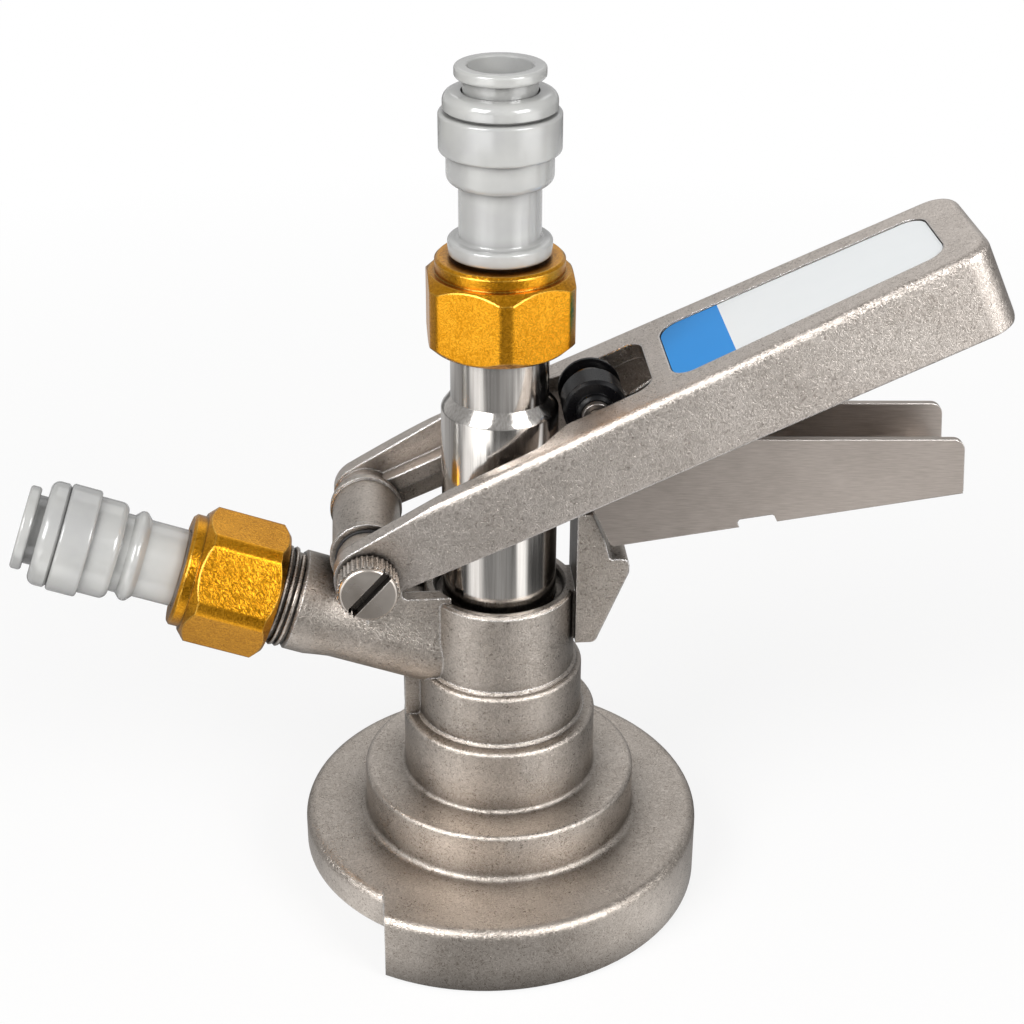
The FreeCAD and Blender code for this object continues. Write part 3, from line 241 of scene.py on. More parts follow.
@dataclass(frozen=True)
class PolymerFinish:
    """A moulded plastic or rubber: an even colour with a fine mould grain, and painted shade in its
    creases.
    """

    name: str
    light: str
    dark: str
    roughness: tuple[float, float]
    grain_mm: float = 0.5
    grain_depth_mm: float = 0.01
    mottle_mm: float = 12.0
    ior: float = 1.49
    shine: float = 0.5
    gloss: float = 0.0
    gloss_roughness: float = 0.14
    gloss_ior: float = 1.6
    subsurface: float = 0.0
    scatter_mm: float = 1.5
    edge_mm: float = 0.35
    crease_mm: float = 2.5
    crease_floor: float = 0.45

    def material(self) -> bpy.types.Material:
        """Builds the node material.

        Returns:
            The finished material.
        """
        material, tree = new_material(self.name)
        place = add_node(tree, "ShaderNodeTexCoord").outputs["Object"]
        grain = add_node(tree, "ShaderNodeTexNoise", {
            "Vector": place, "Scale": 1 / (self.grain_mm * MM), "Detail": 2.0}).outputs["Fac"]
        mottle = add_node(tree, "ShaderNodeTexNoise", {
            "Vector": place, "Scale": 1 / (self.mottle_mm * MM), "Detail": 3.0})
        tone = add_node(tree, "ShaderNodeMapRange", {"Value": mottle.outputs["Fac"], **MOTTLE_SPAN})
        colour = add_node(tree, "ShaderNodeMix", {
            SHARE: tone.outputs["Result"], COLOUR_A: linear(self.dark),
            COLOUR_B: linear(self.light)}, data_type="RGBA")
        # Painted shade: creases and steps darken towards a near-black tone.
        shaded = add_node(tree, "ShaderNodeMix", {
            SHARE: openness(tree, self.crease_mm, self.crease_floor),
            COLOUR_A: linear(DIRT_TONE), COLOUR_B: colour.outputs[COLOUR_OUT]}, data_type="RGBA")
        rough = add_node(tree, "ShaderNodeMapRange", {
            "Value": grain, **FINE_SPAN, "To Min": self.roughness[0], "To Max": self.roughness[1]})
        rounded = add_node(tree, "ShaderNodeBevel", {
            "Radius": self.edge_mm * MM}, samples=RAY_SAMPLES)
        bump = add_node(tree, "ShaderNodeBump", {
            "Height": grain, "Distance": self.grain_depth_mm * MM,
            "Strength": 1.0, "Normal": rounded.outputs["Normal"]})
        surface = add_node(tree, "ShaderNodeBsdfPrincipled", {
            "Base Color": shaded.outputs[COLOUR_OUT], "Roughness": rough.outputs["Result"],
            "Normal": bump.outputs["Normal"], "IOR": self.ior, "Specular IOR Level": self.shine,
            "Coat Weight": self.gloss, "Coat Roughness": self.gloss_roughness,
            "Coat IOR": self.gloss_ior, "Subsurface Weight": self.subsurface,
            "Subsurface Scale": self.scatter_mm * MM, "Subsurface Radius": (1.0, 1.0, 1.0)})
        add_node(tree, "ShaderNodeOutputMaterial", {"Surface": surface.outputs["BSDF"]})
        return material


@dataclass(frozen=True)
class LabelFinish:
    """Printed plate: white with a blue band at the end next to the slot."""

    name: str = "printed_plate"
    white: str = "#eceff0"
    blue: str = "#0f8bdc"
    haze: str = "#b8c4c8"
    haze_share: float = 0.02
    ink_mm: float = 6.0
    ior: float = 1.46
    roughness: tuple[float, float] = (0.30, 0.40)
    along: tuple[float, float, float] = (1.0, 0.0, 0.0)
    band_end_mm: float = 0.0

    def material(self) -> bpy.types.Material:
        """Builds the node material.

        Returns:
            The finished material.
        """
        material, tree = new_material(self.name)
        place = add_node(tree, "ShaderNodeTexCoord").outputs["Object"]
        reach = add_node(tree, "ShaderNodeVectorMath", {
            0: place, 1: self.along}, operation="DOT_PRODUCT")
        band = add_node(tree, "ShaderNodeMath", {
            0: reach.outputs["Value"], 1: self.band_end_mm * MM}, operation="LESS_THAN")
        ink = add_node(tree, "ShaderNodeTexNoise", {
            "Vector": place, "Scale": 1 / (self.ink_mm * MM), "Detail": 2.0}).outputs["Fac"]
        fade = add_node(tree, "ShaderNodeMapRange", {
            "Value": ink, **FINE_SPAN, "To Min": 0.0, "To Max": self.haze_share})
        printed = add_node(tree, "ShaderNodeMix", {
            SHARE: band.outputs[0], COLOUR_A: linear(self.white),
            COLOUR_B: linear(self.blue)}, data_type="RGBA")
        colour = add_node(tree, "ShaderNodeMix", {
            SHARE: fade.outputs["Result"], COLOUR_A: printed.outputs[COLOUR_OUT],
            COLOUR_B: linear(self.haze)}, data_type="RGBA")
        rough = add_node(tree, "ShaderNodeMapRange", {
            "Value": ink, **FINE_SPAN, "To Min": self.roughness[0], "To Max": self.roughness[1]})
        surface = add_node(tree, "ShaderNodeBsdfPrincipled", {
            "Base Color": colour.outputs[COLOUR_OUT], "IOR": self.ior,
            "Roughness": rough.outputs["Result"]})
        add_node(tree, "ShaderNodeOutputMaterial", {"Surface": surface.outputs["BSDF"]})
        return material


# Investment-cast 304 stainless, glass-bead blasted and pickled: an even sparkle, warm grey, edges
# rubbed bright with a painted highlight, creases in painted shade. The shell's orange peel of about
# 0.5 mm is drawn at 0.9 mm so that it shows at 4 pixels per mm.
CAST_STAINLESS = MetalFinish(
    "cast_stainless_bead_blasted", "#d5ccc3", "#a79d93", (0.27, 0.38), 0.9, 0.12,
    mottle_mm=10.0, curl=2.6, pits=0.15, edge_mm=0.6, edge_gain=1.0, edge_tone="#ffffff",
    crease_mm=8.0, crease_floor=0.16)
# The same casting on the lever, tumbled a little longer, so flatter and a shade lighter.
TUMBLED_STAINLESS = MetalFinish(
    "cast_stainless_tumbled", "#e2d9d1", "#bdb3aa", (0.27, 0.37), 0.9, 0.11, mottle_mm=12.0,
    curl=2.6, pits=0.12, edge_mm=0.6, edge_gain=1.0, edge_tone="#ffffff", crease_mm=7.0,
    crease_floor=0.2)
# Ground and polished 304 bar: mirror bands, with faint drawing lines along it.
POLISHED_BAR = MetalFinish(
    "stainless_bar_polished", "#d8d4cf", "#c4bfba", (0.11, 0.17), 0.5, 0.0006, mottle_mm=15.0,
    lay=Lay.ALONG_Z, edge_mm=0.2, edge_gain=0.3, crease_mm=2.0)
# Turned 303 bar of the screw and pins: fine facing marks, a satin grey.
TURNED_BAR = MetalFinish(
    "stainless_bar_turned", "#ddd4cb", "#b9afa5", (0.22, 0.34), 0.35, 0.004,
    lay=Lay.RINGS_ABOUT_Y, edge_mm=0.25, crease_mm=4.5, crease_floor=0.02)
# Cold-rolled stainless sheet, brushed along the trigger and then bent.
SATIN_SHEET = MetalFinish(
    "stainless_sheet_satin", "#c3b9b1", "#b0a69e", (0.36, 0.44), 0.18, 0.0025, mottle_mm=12.0,
    lay=Lay.ALONG_X, turn_deg=-2.0, edge_mm=0.3, edge_gain=0.8)
# Hard-drawn spring wire and blanked rings, bright.
SPRING_STEEL = MetalFinish(
    "spring_steel_bright", "#c9c6c2", "#8f8b87", (0.18, 0.30), 0.5, 0.002, edge_mm=0.1)
# Hot-stamped and turned CW617 brass: deep yellow, flats with forging texture, bevels bright with a
# painted highlight.
STAMPED_BRASS = MetalFinish(
    "brass_stamped_turned", "#f3ac2e", "#c68414", (0.19, 0.26), 1.1, 0.045, mottle_mm=9.0,
    curl=2.8, edge_mm=0.45, edge_gain=0.9, edge_tone="#ffd977", crease_mm=3.0,
    crease_floor=0.25)
# Moulded acetal of the push fittings: cool light grey, slightly glossy and a little translucent.
GREY_ACETAL = PolymerFinish(
    "acetal_moulded_grey", "#b5b5b2", "#a9a9a8", (0.20, 0.25), 0.6, 0.004, ior=1.48,
    subsurface=0.03, gloss=1.0)
# Natural washers and the ball cage: milky white.
NATURAL_NYLON = PolymerFinish(
    "nylon_moulded_natural", "#e6e3da", "#dbd7cc", (0.35, 0.45), 0.5, 0.006, ior=1.53)
# Dark filled bearing plastic: grey-black and dull.
BEARING_PLASTIC = PolymerFinish(
    "filled_bearing_plastic", "#3a3a3c", "#2e2e30", (0.45, 0.55), 0.4, 0.006)
# Glass-filled nylon of the spool: black with a soft gloss.
BLACK_NYLON = PolymerFinish(
    "nylon_moulded_black", "#0c0c0e", "#070709", (0.26, 0.36), 0.5, 0.008, ior=1.53, shine=0.2)
# Compression-moulded nitrile of rings and seals: black and dull.
NITRILE_RUBBER = PolymerFinish(
    "nitrile_rubber_black", "#1c1c1c", "#141414", (0.50, 0.62), 0.5, 0.010, ior=1.52)
# Pale food-grade silicone of the duckbill.
SILICONE_RUBBER = PolymerFinish(
    "silicone_rubber_pale", "#ded9cc", "#d2ccbd", (0.42, 0.52), 0.6, 0.008, ior=1.41,
    subsurface=0.1)


@dataclass(frozen=True)
class LeverFrame:
    """Where the lever lies at rest: u runs along it, v up across it, from its pivot."""

    pivot_x_mm: float = -28.4
    pivot_z_mm: float = 87.0
    raise_deg: float = 25.0

    def along(self) -> tuple[float, float, float]:
        """Direction of the lever from its pivot to its grip."""
        return (math.cos(math.radians(self.raise_deg)), 0.0, math.sin(math.radians(self.raise_deg)))

    def reach_of(self, u_mm: float) -> float:
        """Distance of a cross-section along the lever's own direction from the origin, in mm."""
        ahead, _, up = self.along()
        return self.pivot_x_mm * ahead + self.pivot_z_mm * up + u_mm


@dataclass(frozen=True)
class ArmFrame:
    """Where the gas arm lies: s runs along it from the probe's axis."""

    cross_z_mm: float = 55.3
    rise_deg: float = 19.5

    def place(self, s_mm: float) -> Matrix:
        """Matrix that takes the Z axis to the arm, starting at s.

        Args:
            s_mm: distance along the arm.

        Returns:
            The matrix, in metres.
        """
        turn = Matrix.Rotation(math.radians(self.rise_deg - 90), 4, "Y")
        start = Matrix.Translation((0, 0, self.cross_z_mm * MM))
        return start @ turn @ Matrix.Translation((0, 0, s_mm * MM))


LEVER_FRAME = LeverFrame()
ARM_FRAME = ArmFrame()


def soften_tree() -> bpy.types.NodeTree:
    """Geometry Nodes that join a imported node's loose triangles and shade its curves smoothly.

    Returns:
        The node group, shared by all nodes.
    """
    tree = bpy.data.node_groups.new("soften_curves", "GeometryNodeTree")
    tree.interface.new_socket("Geometry", in_out="INPUT", socket_type="NodeSocketGeometry")
    angle = tree.interface.new_socket("Crease angle", in_out="INPUT", socket_type="NodeSocketFloat")
    angle.default_value = math.radians(CREASE_DEG)
    tree.interface.new_socket("Geometry", in_out="OUTPUT", socket_type="NodeSocketGeometry")
    given = add_node(tree, "NodeGroupInput")
    joined = add_node(tree, "GeometryNodeMergeByDistance", {
        "Geometry": given.outputs["Geometry"], "Distance": MERGE_MM * MM})
    smooth = add_node(tree, "GeometryNodeSetShadeSmooth", {
        "Geometry": joined.outputs["Geometry"], "Shade Smooth": True}, domain="FACE")
    bend = add_node(tree, "GeometryNodeInputMeshEdgeAngle")
    sharp = add_node(tree, "FunctionNodeCompare", {
        0: bend.outputs["Unsigned Angle"], 1: given.outputs["Crease angle"]},
        operation="GREATER_THAN")
    creased = add_node(tree, "GeometryNodeSetShadeSmooth", {
        "Geometry": smooth.outputs["Geometry"], "Selection": sharp.outputs["Result"],
        "Shade Smooth": False}, domain="EDGE")
    add_node(tree, "NodeGroupOutput", {"Geometry": creased.outputs["Geometry"]})
    return tree


def grown(name: str, tree: bpy.types.NodeTree, sizes: dict[str, float], place: Matrix,
          finish: bpy.types.Material) -> bpy.types.Object:
    """Runs a Geometry Nodes tree and keeps its result as a plain mesh.

    Args:
        name: name of the piece.
        tree: node group that grows the mesh.
        sizes: the tree's named inputs.
        place: where the result goes, written into the mesh.
        finish: material of the piece, set by the tree too.

    Returns:
        The new object, at the origin.
    """
    seed = bpy.data.objects.new(name + "_seed", bpy.data.meshes.new(name + "_seed"))
    bpy.context.scene.collection.objects.link(seed)
    modifier = seed.modifiers.new("grow", "NODES")
    modifier.node_group = tree
    for item in tree.interface.items_tree:
        if item.in_out == "INPUT" and item.name in sizes:
            modifier[item.identifier] = sizes[item.name]
    bpy.context.view_layer.update()
    evaluated = seed.evaluated_get(bpy.context.evaluated_depsgraph_get())
    mesh = bpy.data.meshes.new_from_object(evaluated)
    seed.modifiers.remove(modifier)
    bpy.data.objects.remove(seed)
    mesh.name = name
    mesh.transform(place)
    mesh.materials.clear()
    mesh.materials.append(finish)
    piece = bpy.data.objects.new(name, mesh)
    bpy.context.scene.collection.objects.link(piece)
    bpy.context.view_layer.update()
    return piece


def new_tree(name: str, sizes: dict[str, float]) -> tuple[bpy.types.NodeTree, bpy.types.Node]:
    """Starts a Geometry Nodes tree with named sizes.

    Args:
        name: name of the tree.
        sizes: name and default of each input.

    Returns:
        The tree and its group input node.
    """
    tree = bpy.data.node_groups.new(name, "GeometryNodeTree")
    tree.interface.new_socket("Geometry", in_out="INPUT", socket_type="NodeSocketGeometry")
    for key, value in sizes.items():
        kind = "NodeSocketInt" if isinstance(value, int) else "NodeSocketFloat"
        tree.interface.new_socket(key, in_out="INPUT", socket_type=kind).default_value = value
    tree.interface.new_socket("Geometry", in_out="OUTPUT", socket_type="NodeSocketGeometry")
    return tree, add_node(tree, "NodeGroupInput")


class Assembly:
    """A sub-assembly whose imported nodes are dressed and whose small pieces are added."""

    finishes: dict[str, MetalFinish | PolymerFinish | LabelFinish] = {}
    materials: dict[str, bpy.types.Material] = {}
    soften: bpy.types.NodeTree | None = None

    def finish(self, kind: MetalFinish | PolymerFinish | LabelFinish) -> bpy.types.Material:
        """The material of a finish, built once."""
        if kind.name not in Assembly.materials:
            Assembly.materials[kind.name] = kind.material()
        return Assembly.materials[kind.name]

    def dress(self) -> None:
        """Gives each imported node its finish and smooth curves."""
        if Assembly.soften is None:
            Assembly.soften = soften_tree()
        for name, kind in self.finishes.items():
            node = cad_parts[name]
            node.data.materials.clear()
            node.data.materials.append(self.finish(kind))
            node.modifiers.new("soften_curves", "NODES").node_group = Assembly.soften
            log.info("%s is dressed as %s", name, kind.name)

    def add(self, piece: bpy.types.Object, body: str, slot: str) -> None:
        """Seats a new piece on its body.

        Args:
            piece: the finished piece.
            body: body that it rides on.
            slot: material slot that it belongs to; not used.
        """
        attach(piece, body)
        log.info("%s: %d faces, rides on %s", piece.name, len(piece.data.polygons), body)

    def build(self) -> None:
        """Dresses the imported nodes; a sub-assembly with pieces of its own adds them."""
        self.dress()


@dataclass
class Casting(Assembly):
    """Coupler body with its seal and the thread of the gas arm."""

    thread_middle_mm: float = 10.5
    thread_ridge_mm: float = 0.52
    thread_start_mm: float = 48.2
    thread_pitch_mm: float = 1.35
    thread_turns: float = 2.3
    steps_per_turn: int = 96
    ridge_sides: int = 6
    finishes: dict = field(default_factory=lambda: {
        "coupler_body": CAST_STAINLESS, "neck_seal": NITRILE_RUBBER,
        "pivot_bushes": BEARING_PLASTIC})

    def thread_tree(self, finish: bpy.types.Material,
                    sizes: dict[str, float]) -> bpy.types.NodeTree:
        """Geometry Nodes that sweep a ridge along a spiral.

        Args:
            finish: material of the ridge.
            sizes: the tree's named inputs.

        Returns:
            The node group.
        """
        tree, given = new_tree("thread_ridge", sizes)
        spiral = add_node(tree, "GeometryNodeCurveSpiral", {
            "Resolution": self.steps_per_turn, "Rotations": given.outputs["Turns"],
            "Start Radius": given.outputs["Radius"], "End Radius": given.outputs["Radius"],
            "Height": given.outputs["Length"]})
        section = add_node(tree, "GeometryNodeCurvePrimitiveCircle", {
            "Resolution": self.ridge_sides, "Radius": given.outputs["Ridge"]})
        ridge = add_node(tree, "GeometryNodeCurveToMesh", {
            "Curve": spiral.outputs["Curve"], "Profile Curve": section.outputs["Curve"],
            "Fill Caps": True})
        smooth = add_node(tree, "GeometryNodeSetShadeSmooth", {"Geometry": ridge.outputs["Mesh"]})
        whole = add_node(tree, "GeometryNodeRealizeInstances", {
            "Geometry": smooth.outputs["Geometry"]})
        made = add_node(tree, "GeometryNodeSetMaterial", {
            "Geometry": whole.outputs["Geometry"], "Material": finish})
        add_node(tree, "NodeGroupOutput", {"Geometry": made.outputs["Geometry"]})
        return tree

    def build(self) -> None:
        """Dresses the casting and adds the visible turns of the gas arm's thread."""
        self.dress()
        finish = self.finish(TURNED_BAR)
        sizes = {"Turns": self.thread_turns, "Radius": self.thread_middle_mm * MM,
                 "Length": self.thread_turns * self.thread_pitch_mm * MM,
                 "Ridge": self.thread_ridge_mm * MM}
        piece = grown("gas_arm_thread", self.thread_tree(finish, sizes), sizes,
                      ARM_FRAME.place(self.thread_start_mm), finish)
        self.add(piece, "coupler", "cast_steel")


@dataclass
class GasLine(Assembly):
    """Fitting, nut and duckbill at the end of the gas arm."""

    finishes: dict = field(default_factory=lambda: {
        "gas_check_valve": SILICONE_RUBBER, "gas_tail_washer": NATURAL_NYLON,
        "gas_fitting_body": GREY_ACETAL, "gas_fitting_cap": GREY_ACETAL,
        "gas_fitting_collet": GREY_ACETAL, "gas_grab_ring": SPRING_STEEL,
        "gas_o_ring": NITRILE_RUBBER, "gas_union_nut": STAMPED_BRASS})


@dataclass
class Probe(Assembly):
    """Polished probe with its pins, ball, cage and upper fitting."""

    finishes: dict = field(default_factory=lambda: {
        "probe_tube": POLISHED_BAR, "probe_o_rings": NITRILE_RUBBER,
        "probe_tip_seal": NITRILE_RUBBER, "guide_pins": TURNED_BAR,
        "check_ball": POLISHED_BAR, "ball_cage": NATURAL_NYLON,
        "beer_tail_washer": NATURAL_NYLON, "beer_fitting_body": GREY_ACETAL,
        "beer_fitting_cap": GREY_ACETAL, "beer_fitting_collet": GREY_ACETAL,
        "beer_grab_ring": SPRING_STEEL, "beer_o_ring": NITRILE_RUBBER,
        "beer_union_nut": STAMPED_BRASS})


@dataclass
class Lever(Assembly):
    """Cast lever with its label plate and the knurled pivot screw."""

    knurl_count: int = 36
    knurl_radius_mm: float = 6.02
    knurl_size_mm: float = 0.40
    knurl_length_mm: float = 4.6
    knurl_middle_y_mm: float = -24.0
    ridge_sides: int = 4
    band_end_u_mm: float = 87.0
    finishes: dict = field(default_factory=lambda: {
        "handle_lever": TUMBLED_STAINLESS, "pivot_screw": TURNED_BAR,
        "pivot_washers": BEARING_PLASTIC, "trigger_axle": TURNED_BAR,
        "spring_spool": BLACK_NYLON, "trigger_spring": SPRING_STEEL})

    def knurl_tree(self, finish: bpy.types.Material,
                   sizes: dict[str, float]) -> bpy.types.NodeTree:
        """Geometry Nodes that set one ridge at each point of a ring.

        Args:
            finish: material of the ridges.
            sizes: the tree's named inputs.

        Returns:
            The node group.
        """
        tree, given = new_tree("knurl_ridges", sizes)
        ring = add_node(tree, "GeometryNodeMeshCircle", {
            "Vertices": given.outputs["Count"], "Radius": given.outputs["Radius"]})
        ridge = add_node(tree, "GeometryNodeMeshCylinder", {
            "Vertices": self.ridge_sides, "Radius": given.outputs["Size"],
            "Depth": given.outputs["Length"]})
        spot = add_node(tree, "GeometryNodeInputPosition")
        outward = add_node(tree, "FunctionNodeAlignRotationToVector", {
            "Vector": spot.outputs["Position"]}, axis="X", pivot_axis="Z")
        set_out = add_node(tree, "GeometryNodeInstanceOnPoints", {
            "Points": ring.outputs["Mesh"], "Instance": ridge.outputs["Mesh"],
            "Rotation": outward.outputs["Rotation"]})
        whole = add_node(tree, "GeometryNodeRealizeInstances", {
            "Geometry": set_out.outputs["Instances"]})
        made = add_node(tree, "GeometryNodeSetMaterial", {
            "Geometry": whole.outputs["Geometry"], "Material": finish})
        add_node(tree, "NodeGroupOutput", {"Geometry": made.outputs["Geometry"]})
        return tree

    def build(self) -> None:
        """Dresses the lever and adds the screw's knurl."""
        self.finishes["label_plate"] = LabelFinish(
            along=LEVER_FRAME.along(), band_end_mm=LEVER_FRAME.reach_of(self.band_end_u_mm))
        self.dress()
        finish = self.finish(TURNED_BAR)
        sizes = {"Count": self.knurl_count, "Radius": self.knurl_radius_mm * MM,
                 "Size": self.knurl_size_mm * MM, "Length": self.knurl_length_mm * MM}
        middle = Vector((LEVER_FRAME.pivot_x_mm, self.knurl_middle_y_mm, LEVER_FRAME.pivot_z_mm))
        place = Matrix.Translation(middle * MM) @ Matrix.Rotation(math.pi / 2, 4, "X")
        piece = grown("pivot_screw_knurl", self.knurl_tree(finish, sizes), sizes, place, finish)
        self.add(piece, "lever", "turned_steel")


@dataclass
class Trigger(Assembly):
    """Bent sheet trigger with its catch bar."""

    finishes: dict = field(default_factory=lambda: {
        "trigger_channel": SATIN_SHEET, "catch_bar": TURNED_BAR})


@dataclass
class Studio:
    """Pale floor, soft lamps, world and camera."""

    floor_half_m: float = 3.0
    floor_drop_mm: float = 0.2
    floor_paint: str = "#efeeed"
    camera_place_mm: tuple[float, float, float] = (-26.8, -374.35, 291.4)
    camera_heading_deg: float = -4.5
    camera_tilt_deg: float = 61.86
    camera_roll_deg: float = 0.3
    lens_mm: float = 70.09
    sensor_mm: float = 36.0
    nearest_mm: float = 10.0
    sky_level: float = 0.20
    ceiling_level: float = 0.44
    ceiling_from: float = 0.55
    shadow_share: float = 0.17
    shadow_from_mm: float = 120.0
    shadow_to_mm: float = 500.0
    lamps_aim: tuple[float, float, float] = (0.0, 0.0, 0.09)
    # Name, place in metres, side in metres and watts.
    lamps: tuple = (
        ("key_softbox", (-0.65, -0.60, 0.75), 0.60, 10.5),
        ("fill_softbox", (0.60, -0.65, 0.60), 0.50, 6.8),
        ("back_softbox", (0.10, 0.80, 0.80), 0.60, 0.8),
    )
    # What bare metal mirrors round the coupler. The camera looks down, so a wall mirrors the floor
    # in front of it: low walls the near ring, high ones the far ring. Each ring starts to show at
    # its first distance and is alone from its second, in mm; then come degrees from the -Y side
    # towards +X, and brightness.
    rings: tuple = (
        (0, 1, ((-180, 0.30), (-125, 0.20), (-85, 0.55), (-55, 1.15), (-18, 0.38), (14, 0.42),
            (50, 1.05), (78, 0.42), (110, 0.16), (180, 0.30))),
        (110, 150, ((-180, 0.30), (-128, 0.14), (-116, 0.42), (-90, 0.30), (-80, 0.07),
            (-72, 0.10), (-58, 1.30), (-44, 1.30), (-31, 0.22), (-8, 0.38), (8, 0.34), (27, 0.18),
            (33, 1.60), (45, 1.60), (54, 0.08), (95, 0.05), (130, 0.12), (180, 0.30))),
        (235, 290, ((-180, 0.60), (-140, 0.60), (-116, 0.42), (-90, 0.30), (-80, 0.30),
            (-74, 1.25), (-48, 1.25), (-38, 0.30), (-6, 0.34), (8, 0.50), (38, 0.58), (46, 0.50),
            (50, 1.30), (76, 1.30), (86, 0.20), (100, 0.20), (140, 0.60), (180, 0.60))),
        (500, 560, ((-180, 0.20), (-100, 0.20), (-72, 0.80), (-50, 2.60), (-24, 2.60),
            (-16, 0.20), (24, 0.10), (42, 2.60), (68, 2.60), (84, 0.40), (110, 0.20),
            (180, 0.20))),
    )

    def round_about(self, tree: bpy.types.NodeTree, direction: bpy.types.NodeSocket,
                    rings: tuple) -> bpy.types.NodeSocket:
        """Brightness of the surroundings in a mirror, by compass direction and distance.

        Args:
            tree: tree of the floor or the world.
            direction: place or direction, seen from the probe's axis.
            rings: the rings that show, from near to far; the sky has one only.

        Returns:
            The socket.
        """
        split = add_node(tree, "ShaderNodeSeparateXYZ", {0: direction})
        front = add_node(tree, "ShaderNodeMath", {
            0: split.outputs["Y"], 1: -1.0}, operation="MULTIPLY")
        bearing = add_node(tree, "ShaderNodeMath", {
            0: split.outputs["X"], 1: front.outputs[0]}, operation="ARCTAN2")
        share = add_node(tree, "ShaderNodeMapRange", {
            "Value": bearing.outputs[0], "From Min": -math.pi, "From Max": math.pi})
        distance = add_node(tree, "ShaderNodeVectorMath", {0: direction}, operation="LENGTH")
        shown = None
        for starts_mm, alone_mm, levels in rings:
            cards = add_node(tree, "ShaderNodeValToRGB", {"Fac": share.outputs["Result"]})
            ramp = cards.color_ramp
            for index, (degrees, level) in enumerate(levels):
                where = (degrees + 180) / 360
                stop = ramp.elements[index] if index < 2 else ramp.elements.new(where)
                stop.position = where
                stop.color = grey(level)
            if shown is None:
                shown = cards.outputs["Color"]
                continue
            beyond = add_node(tree, "ShaderNodeMapRange", {
                "Value": distance.outputs["Value"],
                "From Min": starts_mm * MM, "From Max": alone_mm * MM})
            shown = add_node(tree, "ShaderNodeMix", {
                SHARE: beyond.outputs["Result"], COLOUR_A: shown,
                COLOUR_B: cards.outputs["Color"]}, data_type="RGBA").outputs[COLOUR_OUT]
        return shown

    def seen(self, tree: bpy.types.NodeTree) -> bpy.types.NodeSocket:
        """1 where the eye, a reflection or a view through something meets the background.

        Args:
            tree: tree of the floor or the world.

        Returns:
            The socket.
        """
        path = add_node(tree, "ShaderNodeLightPath")
        first = add_node(tree, "ShaderNodeMath", {
            0: path.outputs["Is Camera Ray"], 1: path.outputs["Is Glossy Ray"]},
            operation="MAXIMUM")
        either = add_node(tree, "ShaderNodeMath", {
            0: first.outputs[0], 1: path.outputs["Is Transmission Ray"]}, operation="MAXIMUM")
        return either.outputs[0]

    def floor(self) -> None:
        """Pale floor that keeps a soft shadow."""
        mesh = bpy.data.meshes.new("floor")
        half = self.floor_half_m
        low = -self.floor_drop_mm * MM
        corners = [(-half, -half, low), (half, -half, low), (half, half, low), (-half, half, low)]
        mesh.from_pydata(corners, [], [(0, 1, 2, 3)])
        board = bpy.data.objects.new("floor", mesh)
        bpy.context.scene.collection.objects.link(board)
        material, tree = new_material("studio_floor")
        place = add_node(tree, "ShaderNodeTexCoord").outputs["Object"]
        path = add_node(tree, "ShaderNodeLightPath")
        mirror = add_node(tree, "ShaderNodeMix", {
            SHARE: path.outputs["Is Glossy Ray"], COLOUR_A: WHITE,
            COLOUR_B: self.round_about(tree, place, self.rings)}, data_type="RGBA")
        glow = add_node(tree, "ShaderNodeEmission", {
            "Color": mirror.outputs[COLOUR_OUT], "Strength": 1.0})
        paint = add_node(tree, "ShaderNodeBsdfDiffuse", {"Color": linear(self.floor_paint)})
        reach = add_node(tree, "ShaderNodeVectorMath", {0: place}, operation="LENGTH")
        fade = add_node(tree, "ShaderNodeMapRange", {
            "Value": reach.outputs["Value"], "From Min": self.shadow_from_mm * MM,
            "From Max": self.shadow_to_mm * MM, "To Min": 1 - self.shadow_share, "To Max": 1.0})
        eye = add_node(tree, "ShaderNodeMath", {
            0: self.seen(tree), 1: fade.outputs["Result"]}, operation="MULTIPLY")
        share = add_node(tree, "ShaderNodeMath", {
            0: path.outputs["Is Glossy Ray"], 1: eye.outputs[0]}, operation="MAXIMUM")
        both = add_node(tree, "ShaderNodeMixShader", {
            0: share.outputs[0], 1: paint.outputs["BSDF"], 2: glow.outputs["Emission"]})
        add_node(tree, "ShaderNodeOutputMaterial", {"Surface": both.outputs["Shader"]})
        mesh.materials.append(material)

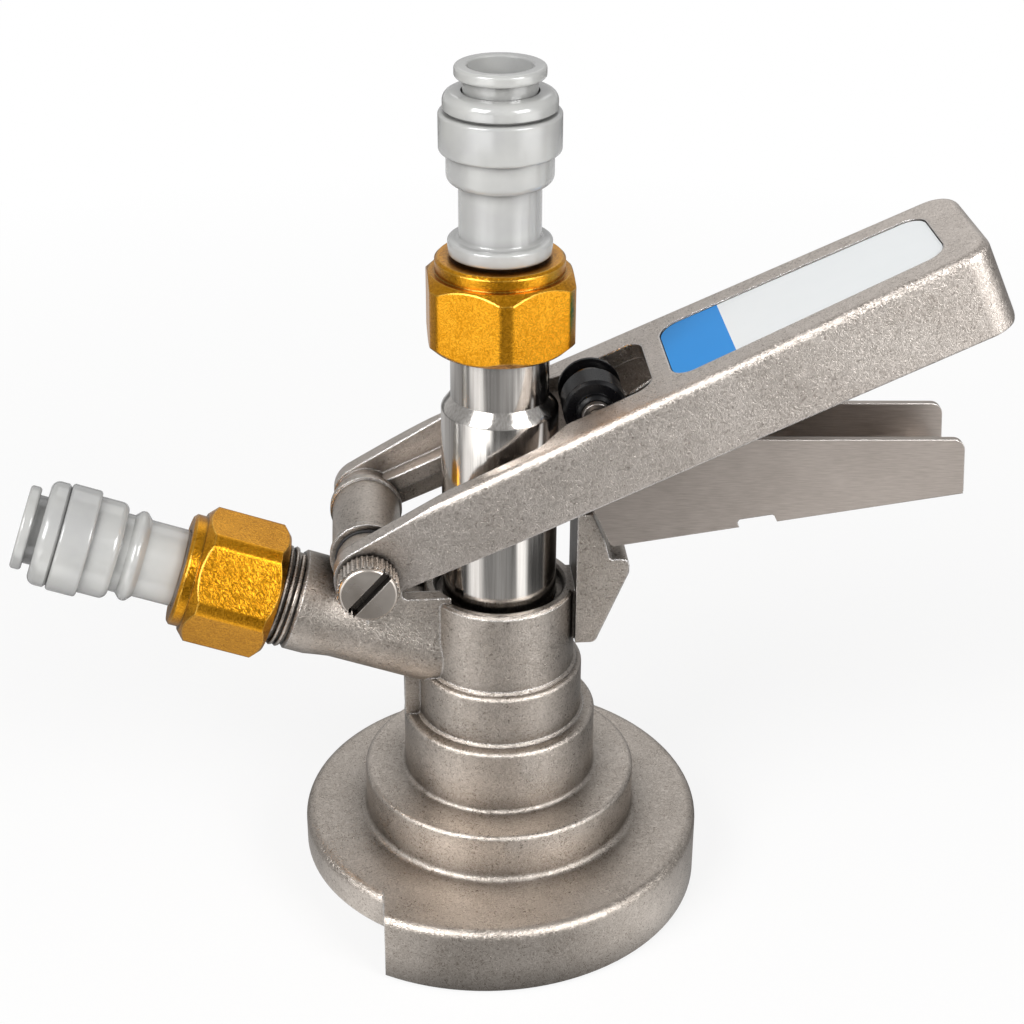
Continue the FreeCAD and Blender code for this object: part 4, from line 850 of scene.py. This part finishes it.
    def world(self) -> None:
        """White to the eye, a soft grey sky for the light, a graded one in reflections."""
        world = bpy.data.worlds.new("studio")
        bpy.context.scene.world = world
        world.use_nodes = True
        tree = world.node_tree
        tree.nodes.clear()
        path = add_node(tree, "ShaderNodeLightPath")
        aim = add_node(tree, "ShaderNodeTexCoord").outputs["Generated"]
        height = add_node(tree, "ShaderNodeSeparateXYZ", {0: aim}).outputs["Z"]
        rise = add_node(tree, "ShaderNodeMapRange", {
            "Value": height, "From Min": 0.0, "From Max": self.ceiling_from})
        graded = add_node(tree, "ShaderNodeMix", {
            SHARE: rise.outputs["Result"],
            COLOUR_A: self.round_about(tree, aim, self.rings[2:3]),
            COLOUR_B: grey(self.ceiling_level)}, data_type="RGBA")
        mirror = add_node(tree, "ShaderNodeMix", {
            SHARE: path.outputs["Is Glossy Ray"], COLOUR_A: WHITE,
            COLOUR_B: graded.outputs[COLOUR_OUT]}, data_type="RGBA")
        level = add_node(tree, "ShaderNodeMix", {
            SHARE: self.seen(tree), COLOUR_A: grey(self.sky_level),
            COLOUR_B: mirror.outputs[COLOUR_OUT]}, data_type="RGBA")
        sky = add_node(tree, "ShaderNodeBackground", {
            "Color": level.outputs[COLOUR_OUT], "Strength": 1.0})
        add_node(tree, "ShaderNodeOutputWorld", {"Surface": sky.outputs["Background"]})

    def light(self) -> None:
        """Hangs the softboxes, each aimed at the middle of the coupler."""
        for name, place, size, watts in self.lamps:
            lamp = bpy.data.lights.new(name, "AREA")
            lamp.shape = "SQUARE"
            lamp.size = size
            lamp.energy = watts
            hung = bpy.data.objects.new(name, lamp)
            hung.location = place
            beam = Vector(self.lamps_aim) - Vector(place)
            hung.rotation_euler = beam.to_track_quat("-Z", "Y").to_euler()
            bpy.context.scene.collection.objects.link(hung)

    def camera(self) -> None:
        """Sets the camera at the photograph's angle."""
        lens = bpy.data.cameras.new("camera")
        lens.lens = self.lens_mm
        lens.sensor_width = self.sensor_mm
        lens.clip_start = self.nearest_mm * MM
        eye = bpy.data.objects.new("camera", lens)
        turn = Matrix.Rotation(math.radians(self.camera_heading_deg), 4, "Z")
        turn @= Matrix.Rotation(math.radians(self.camera_tilt_deg), 4, "X")
        turn @= Matrix.Rotation(math.radians(self.camera_roll_deg), 4, "Z")
        eye.matrix_world = Matrix.Translation(Vector(self.camera_place_mm) * MM) @ turn
        bpy.context.scene.collection.objects.link(eye)
        bpy.context.scene.camera = eye

    def build(self) -> None:
        """Sets up the whole studio."""
        self.floor()
        self.world()
        self.light()
        self.camera()
        bpy.context.scene.view_settings.view_transform = "Standard"


def main() -> None:
    """Builds the coupler's sub-assemblies and the studio."""
    logging.basicConfig(level=logging.INFO, format="%(message)s")
    for part in (Casting(), GasLine(), Probe(), Lever(), Trigger()):
        log.info("%s", type(part).__name__)
        part.build()
    Studio().build()


if __name__ == "__main__":
    main()
